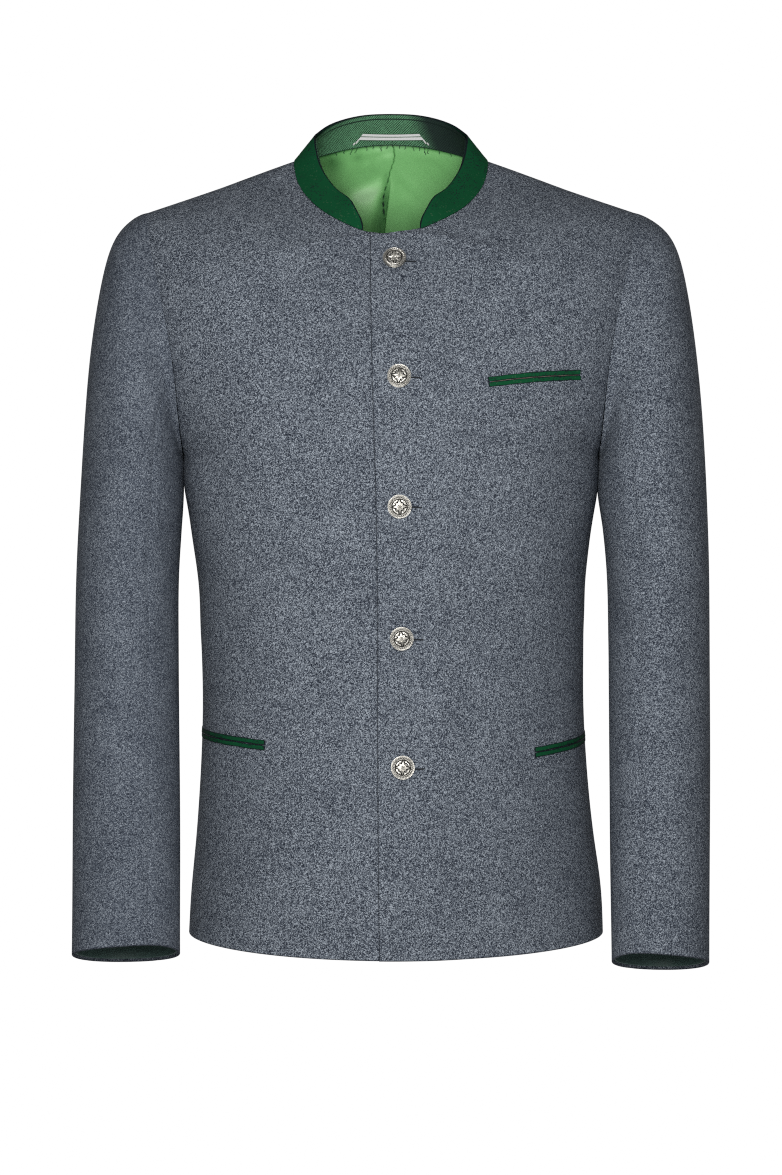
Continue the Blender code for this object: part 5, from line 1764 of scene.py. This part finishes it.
class JACKET_OT_neck(bpy.types.Operator):
    """Make the back's lining, the hanger tape and its stitches"""
    bl_idname = "jacket.neck"
    bl_label = "Lining and hanger tape"

    def execute(self, context):
        wall, thread_size = cloth_mm("wall"), cloth_mm("thread")
        lining = back_lining("back_lining_cloth", SATIN_WALL, wall, finish("green_satin"))
        keep(lining, ["back_lining"])
        keep(hanger_tape("hanger_tape", finish("striped_tape")), ["hanger_loop"])
        tacks = make_mesh("hanger_tacks", *tape_tacks(thread_size), finish("white_thread"))
        keep(tacks, [])
        loose = make_mesh("facing_loose_threads", *frayed_threads(thread_size, wall),
                          finish("green_thread"))
        keep(loose, [])
        return {"FINISHED"}


class JACKET_OT_pockets(bpy.types.Operator):
    """Make the felt lips of the three pockets"""
    bl_idname = "jacket.pockets"
    bl_label = "Pocket lips"

    def execute(self, context):
        wall, felt = cloth_mm("wall"), finish("green_felt")
        for word in POCKETS:
            for level in ("upper", "lower"):
                lip = pocket_lip(f"{word}_lip_{level}", word, level == "upper", wall, felt)
                keep(lip, [f"{word}_jet_{level}"])
            colour_name = "brown_thread" if word == "chest" else "dark_thread"
            mouth = make_mesh(f"{word}_mouth_thread", *pocket_mouth(word, wall),
                              finish(colour_name))
            keep(mouth, [])
        return {"FINISHED"}


class JACKET_OT_buttons(bpy.types.Operator):
    """Make the five cast buttons"""
    bl_idname = "jacket.buttons"
    bl_label = "Buttons"

    def execute(self, context):
        wall, silver = cloth_mm("wall"), finish("antique_silver")
        relief = context.scene.jacket_cloth.relief
        for number, ((x, z), turned) in enumerate(zip(BUTTONS, BUTTON_TURNS), 1):
            made = button(f"button_{number}_cast", x, z, turned, wall, silver, relief)
            keep(made, [f"button_{number}"])
        return {"FINISHED"}


class JACKET_OT_buttonholes(bpy.types.Operator):
    """Make the stitched buttonholes"""
    bl_idname = "jacket.buttonholes"
    bl_label = "Buttonholes"

    def execute(self, context):
        wall = cloth_mm("wall")
        stitches = join_parts([buttonhole(x, z, wall) for x, z in BUTTONS])
        holes = join_parts([slot_faces(x, z, wall) for x, z in BUTTONS])
        keep(make_mesh("buttonhole_stitches", *stitches, finish("grey_thread")), [])
        keep(make_mesh("buttonhole_slot_shade", *holes, finish("slit_shade")), [])
        return {"FINISHED"}


CHEST = (0.0, 0.0, -0.36)
FOCAL_LENGTH = 3333.333 / 1175  # against the height of the picture
SENSOR = 36.0
WHITE = (1.0, 1.0, 1.0, 1.0)
FLOOR_RADII = np.array([400.0, 1000.0, 2000.0, 3000.0])
FLOOR_AROUND = 96


def soft_light(name, power, size, place, target=CHEST):
    """A square area light turned to a target."""
    data = bpy.data.lights.new(name, "AREA")
    data.energy, data.size = power, size
    lamp = bpy.data.objects.new(name, data)
    lamp.location = place
    lamp.rotation_euler = (Vector(target) - Vector(place)).to_track_quat("-Z", "Y").to_euler()
    lamp.visible_camera = False
    bpy.context.scene.collection.objects.link(lamp)


def round_floor(height):
    """A flat disc: rings of points round its middle, at one height."""
    turn = whole_turn(FLOOR_AROUND)
    shape = len(FLOOR_RADII), FLOOR_AROUND
    rings = np.stack([FLOOR_RADII[:, None] * np.cos(turn), FLOOR_RADII[:, None] * np.sin(turn),
                      np.full(shape, height)], -1).reshape(-1, 3)
    faces = [ring_faces(*shape, flip=True), fan(len(rings), np.arange(FLOOR_AROUND))]
    return np.concatenate([rings, [[0.0, 0.0, height]]]), faces


def studio_world(strength):
    """Light of the given strength from all round, behind which the background is white."""
    world = bpy.data.worlds.new("studio_world")
    world.use_nodes = True
    tree = world.node_tree
    ambient, white = tree.nodes["Background"], tree.nodes.new("ShaderNodeBackground")
    for background, bright in ((ambient, strength), (white, 1.0)):
        background.inputs["Color"].default_value = WHITE
        background.inputs["Strength"].default_value = bright
    path = tree.nodes.new("ShaderNodeLightPath")
    either = tree.nodes.new("ShaderNodeMixShader")
    tree.links.new(path.outputs["Is Camera Ray"], either.inputs[0])
    tree.links.new(ambient.outputs[0], either.inputs[1])
    tree.links.new(white.outputs[0], either.inputs[2])
    tree.links.new(either.outputs[0], tree.nodes["World Output"].inputs["Surface"])
    return world


def studio_camera(distance, height):
    """A level camera in front of the jacket."""
    data = bpy.data.cameras.new("studio_camera")
    data.sensor_width, data.sensor_height, data.sensor_fit = SENSOR, SENSOR, "AUTO"
    data.lens = FOCAL_LENGTH * SENSOR
    data.clip_start, data.clip_end = 0.05, 60.0
    camera = bpy.data.objects.new("studio_camera", data)
    camera.location = (0.0, -distance, height)
    camera.rotation_euler = (math.radians(90), 0.0, 0.0)
    return camera


class JACKET_OT_stage(bpy.types.Operator):
    """Make the floor, the lights and the camera"""
    bl_idname = "jacket.stage"
    bl_label = "Studio"

    def execute(self, context):
        scene, stage = context.scene, context.scene.jacket_stage
        floor = make_mesh("studio_floor", *round_floor(stage.floor_height * 1000), pale_floor())
        soft_light("key_light", stage.key_power, 0.5, (-0.09, -1.45, -0.24), (-0.03, -0.13, -0.34))
        soft_light("fill_light", stage.fill_power, 1.8, (1.6, -2.8, 0.1))
        soft_light("back_left_light", stage.fill_power * 3, 1.8, (1.9, 3.1, 0.8))
        soft_light("back_right_light", stage.fill_power * 4, 1.8, (-1.7, 3.2, 0.6))
        soft_light("top_light", stage.fill_power, 1.6, (0.0, -0.7, 1.8))
        scene.world = studio_world(stage.ambient)
        camera = studio_camera(stage.camera_distance, stage.camera_height)
        scene.collection.objects.link(camera)
        scene.camera = camera
        scene.view_settings.view_transform = "Standard"
        scene.cycles.filter_width = 1.15
        scene.cycles.use_denoising = False
        return {"FINISHED"}


OPERATORS = (JACKET_OT_body, JACKET_OT_sleeves, JACKET_OT_cuff_linings, JACKET_OT_collar,
             JACKET_OT_neck, JACKET_OT_pockets, JACKET_OT_buttons, JACKET_OT_buttonholes,
             JACKET_OT_stage)
GROUPS = {"jacket_cloth": JacketCloth, "jacket_colours": JacketColours,
          "jacket_stage": JacketStage}


class JACKET_PT_panel(bpy.types.Panel):
    """The jacket's sizes, colours and pieces in the sidebar"""
    bl_idname = "JACKET_PT_panel"
    bl_label = "Loden jacket"
    bl_space_type = "VIEW_3D"
    bl_region_type = "UI"
    bl_category = "Jacket"

    def draw(self, context):
        for word, group in GROUPS.items():
            box = self.layout.box()
            for name in group.__annotations__:
                box.prop(getattr(context.scene, word), name)
        for operator in OPERATORS:
            self.layout.operator(operator.bl_idname)


def register():
    """Registers the classes and hangs the property groups on the scene."""
    for made in (*GROUPS.values(), *OPERATORS, JACKET_PT_panel):
        bpy.utils.register_class(made)
    for word, group in GROUPS.items():
        setattr(bpy.types.Scene, word, PointerProperty(type=group))


def unregister():
    """Takes away what register added."""
    for word in GROUPS:
        delattr(bpy.types.Scene, word)
    for made in reversed((*GROUPS.values(), *OPERATORS, JACKET_PT_panel)):
        bpy.utils.unregister_class(made)


def main():
    """Makes every piece in order."""
    register()
    for operator in OPERATORS:
        group, word = operator.bl_idname.split(".")
        getattr(getattr(bpy.ops, group), word)()


if __name__ == "__main__":
    main()
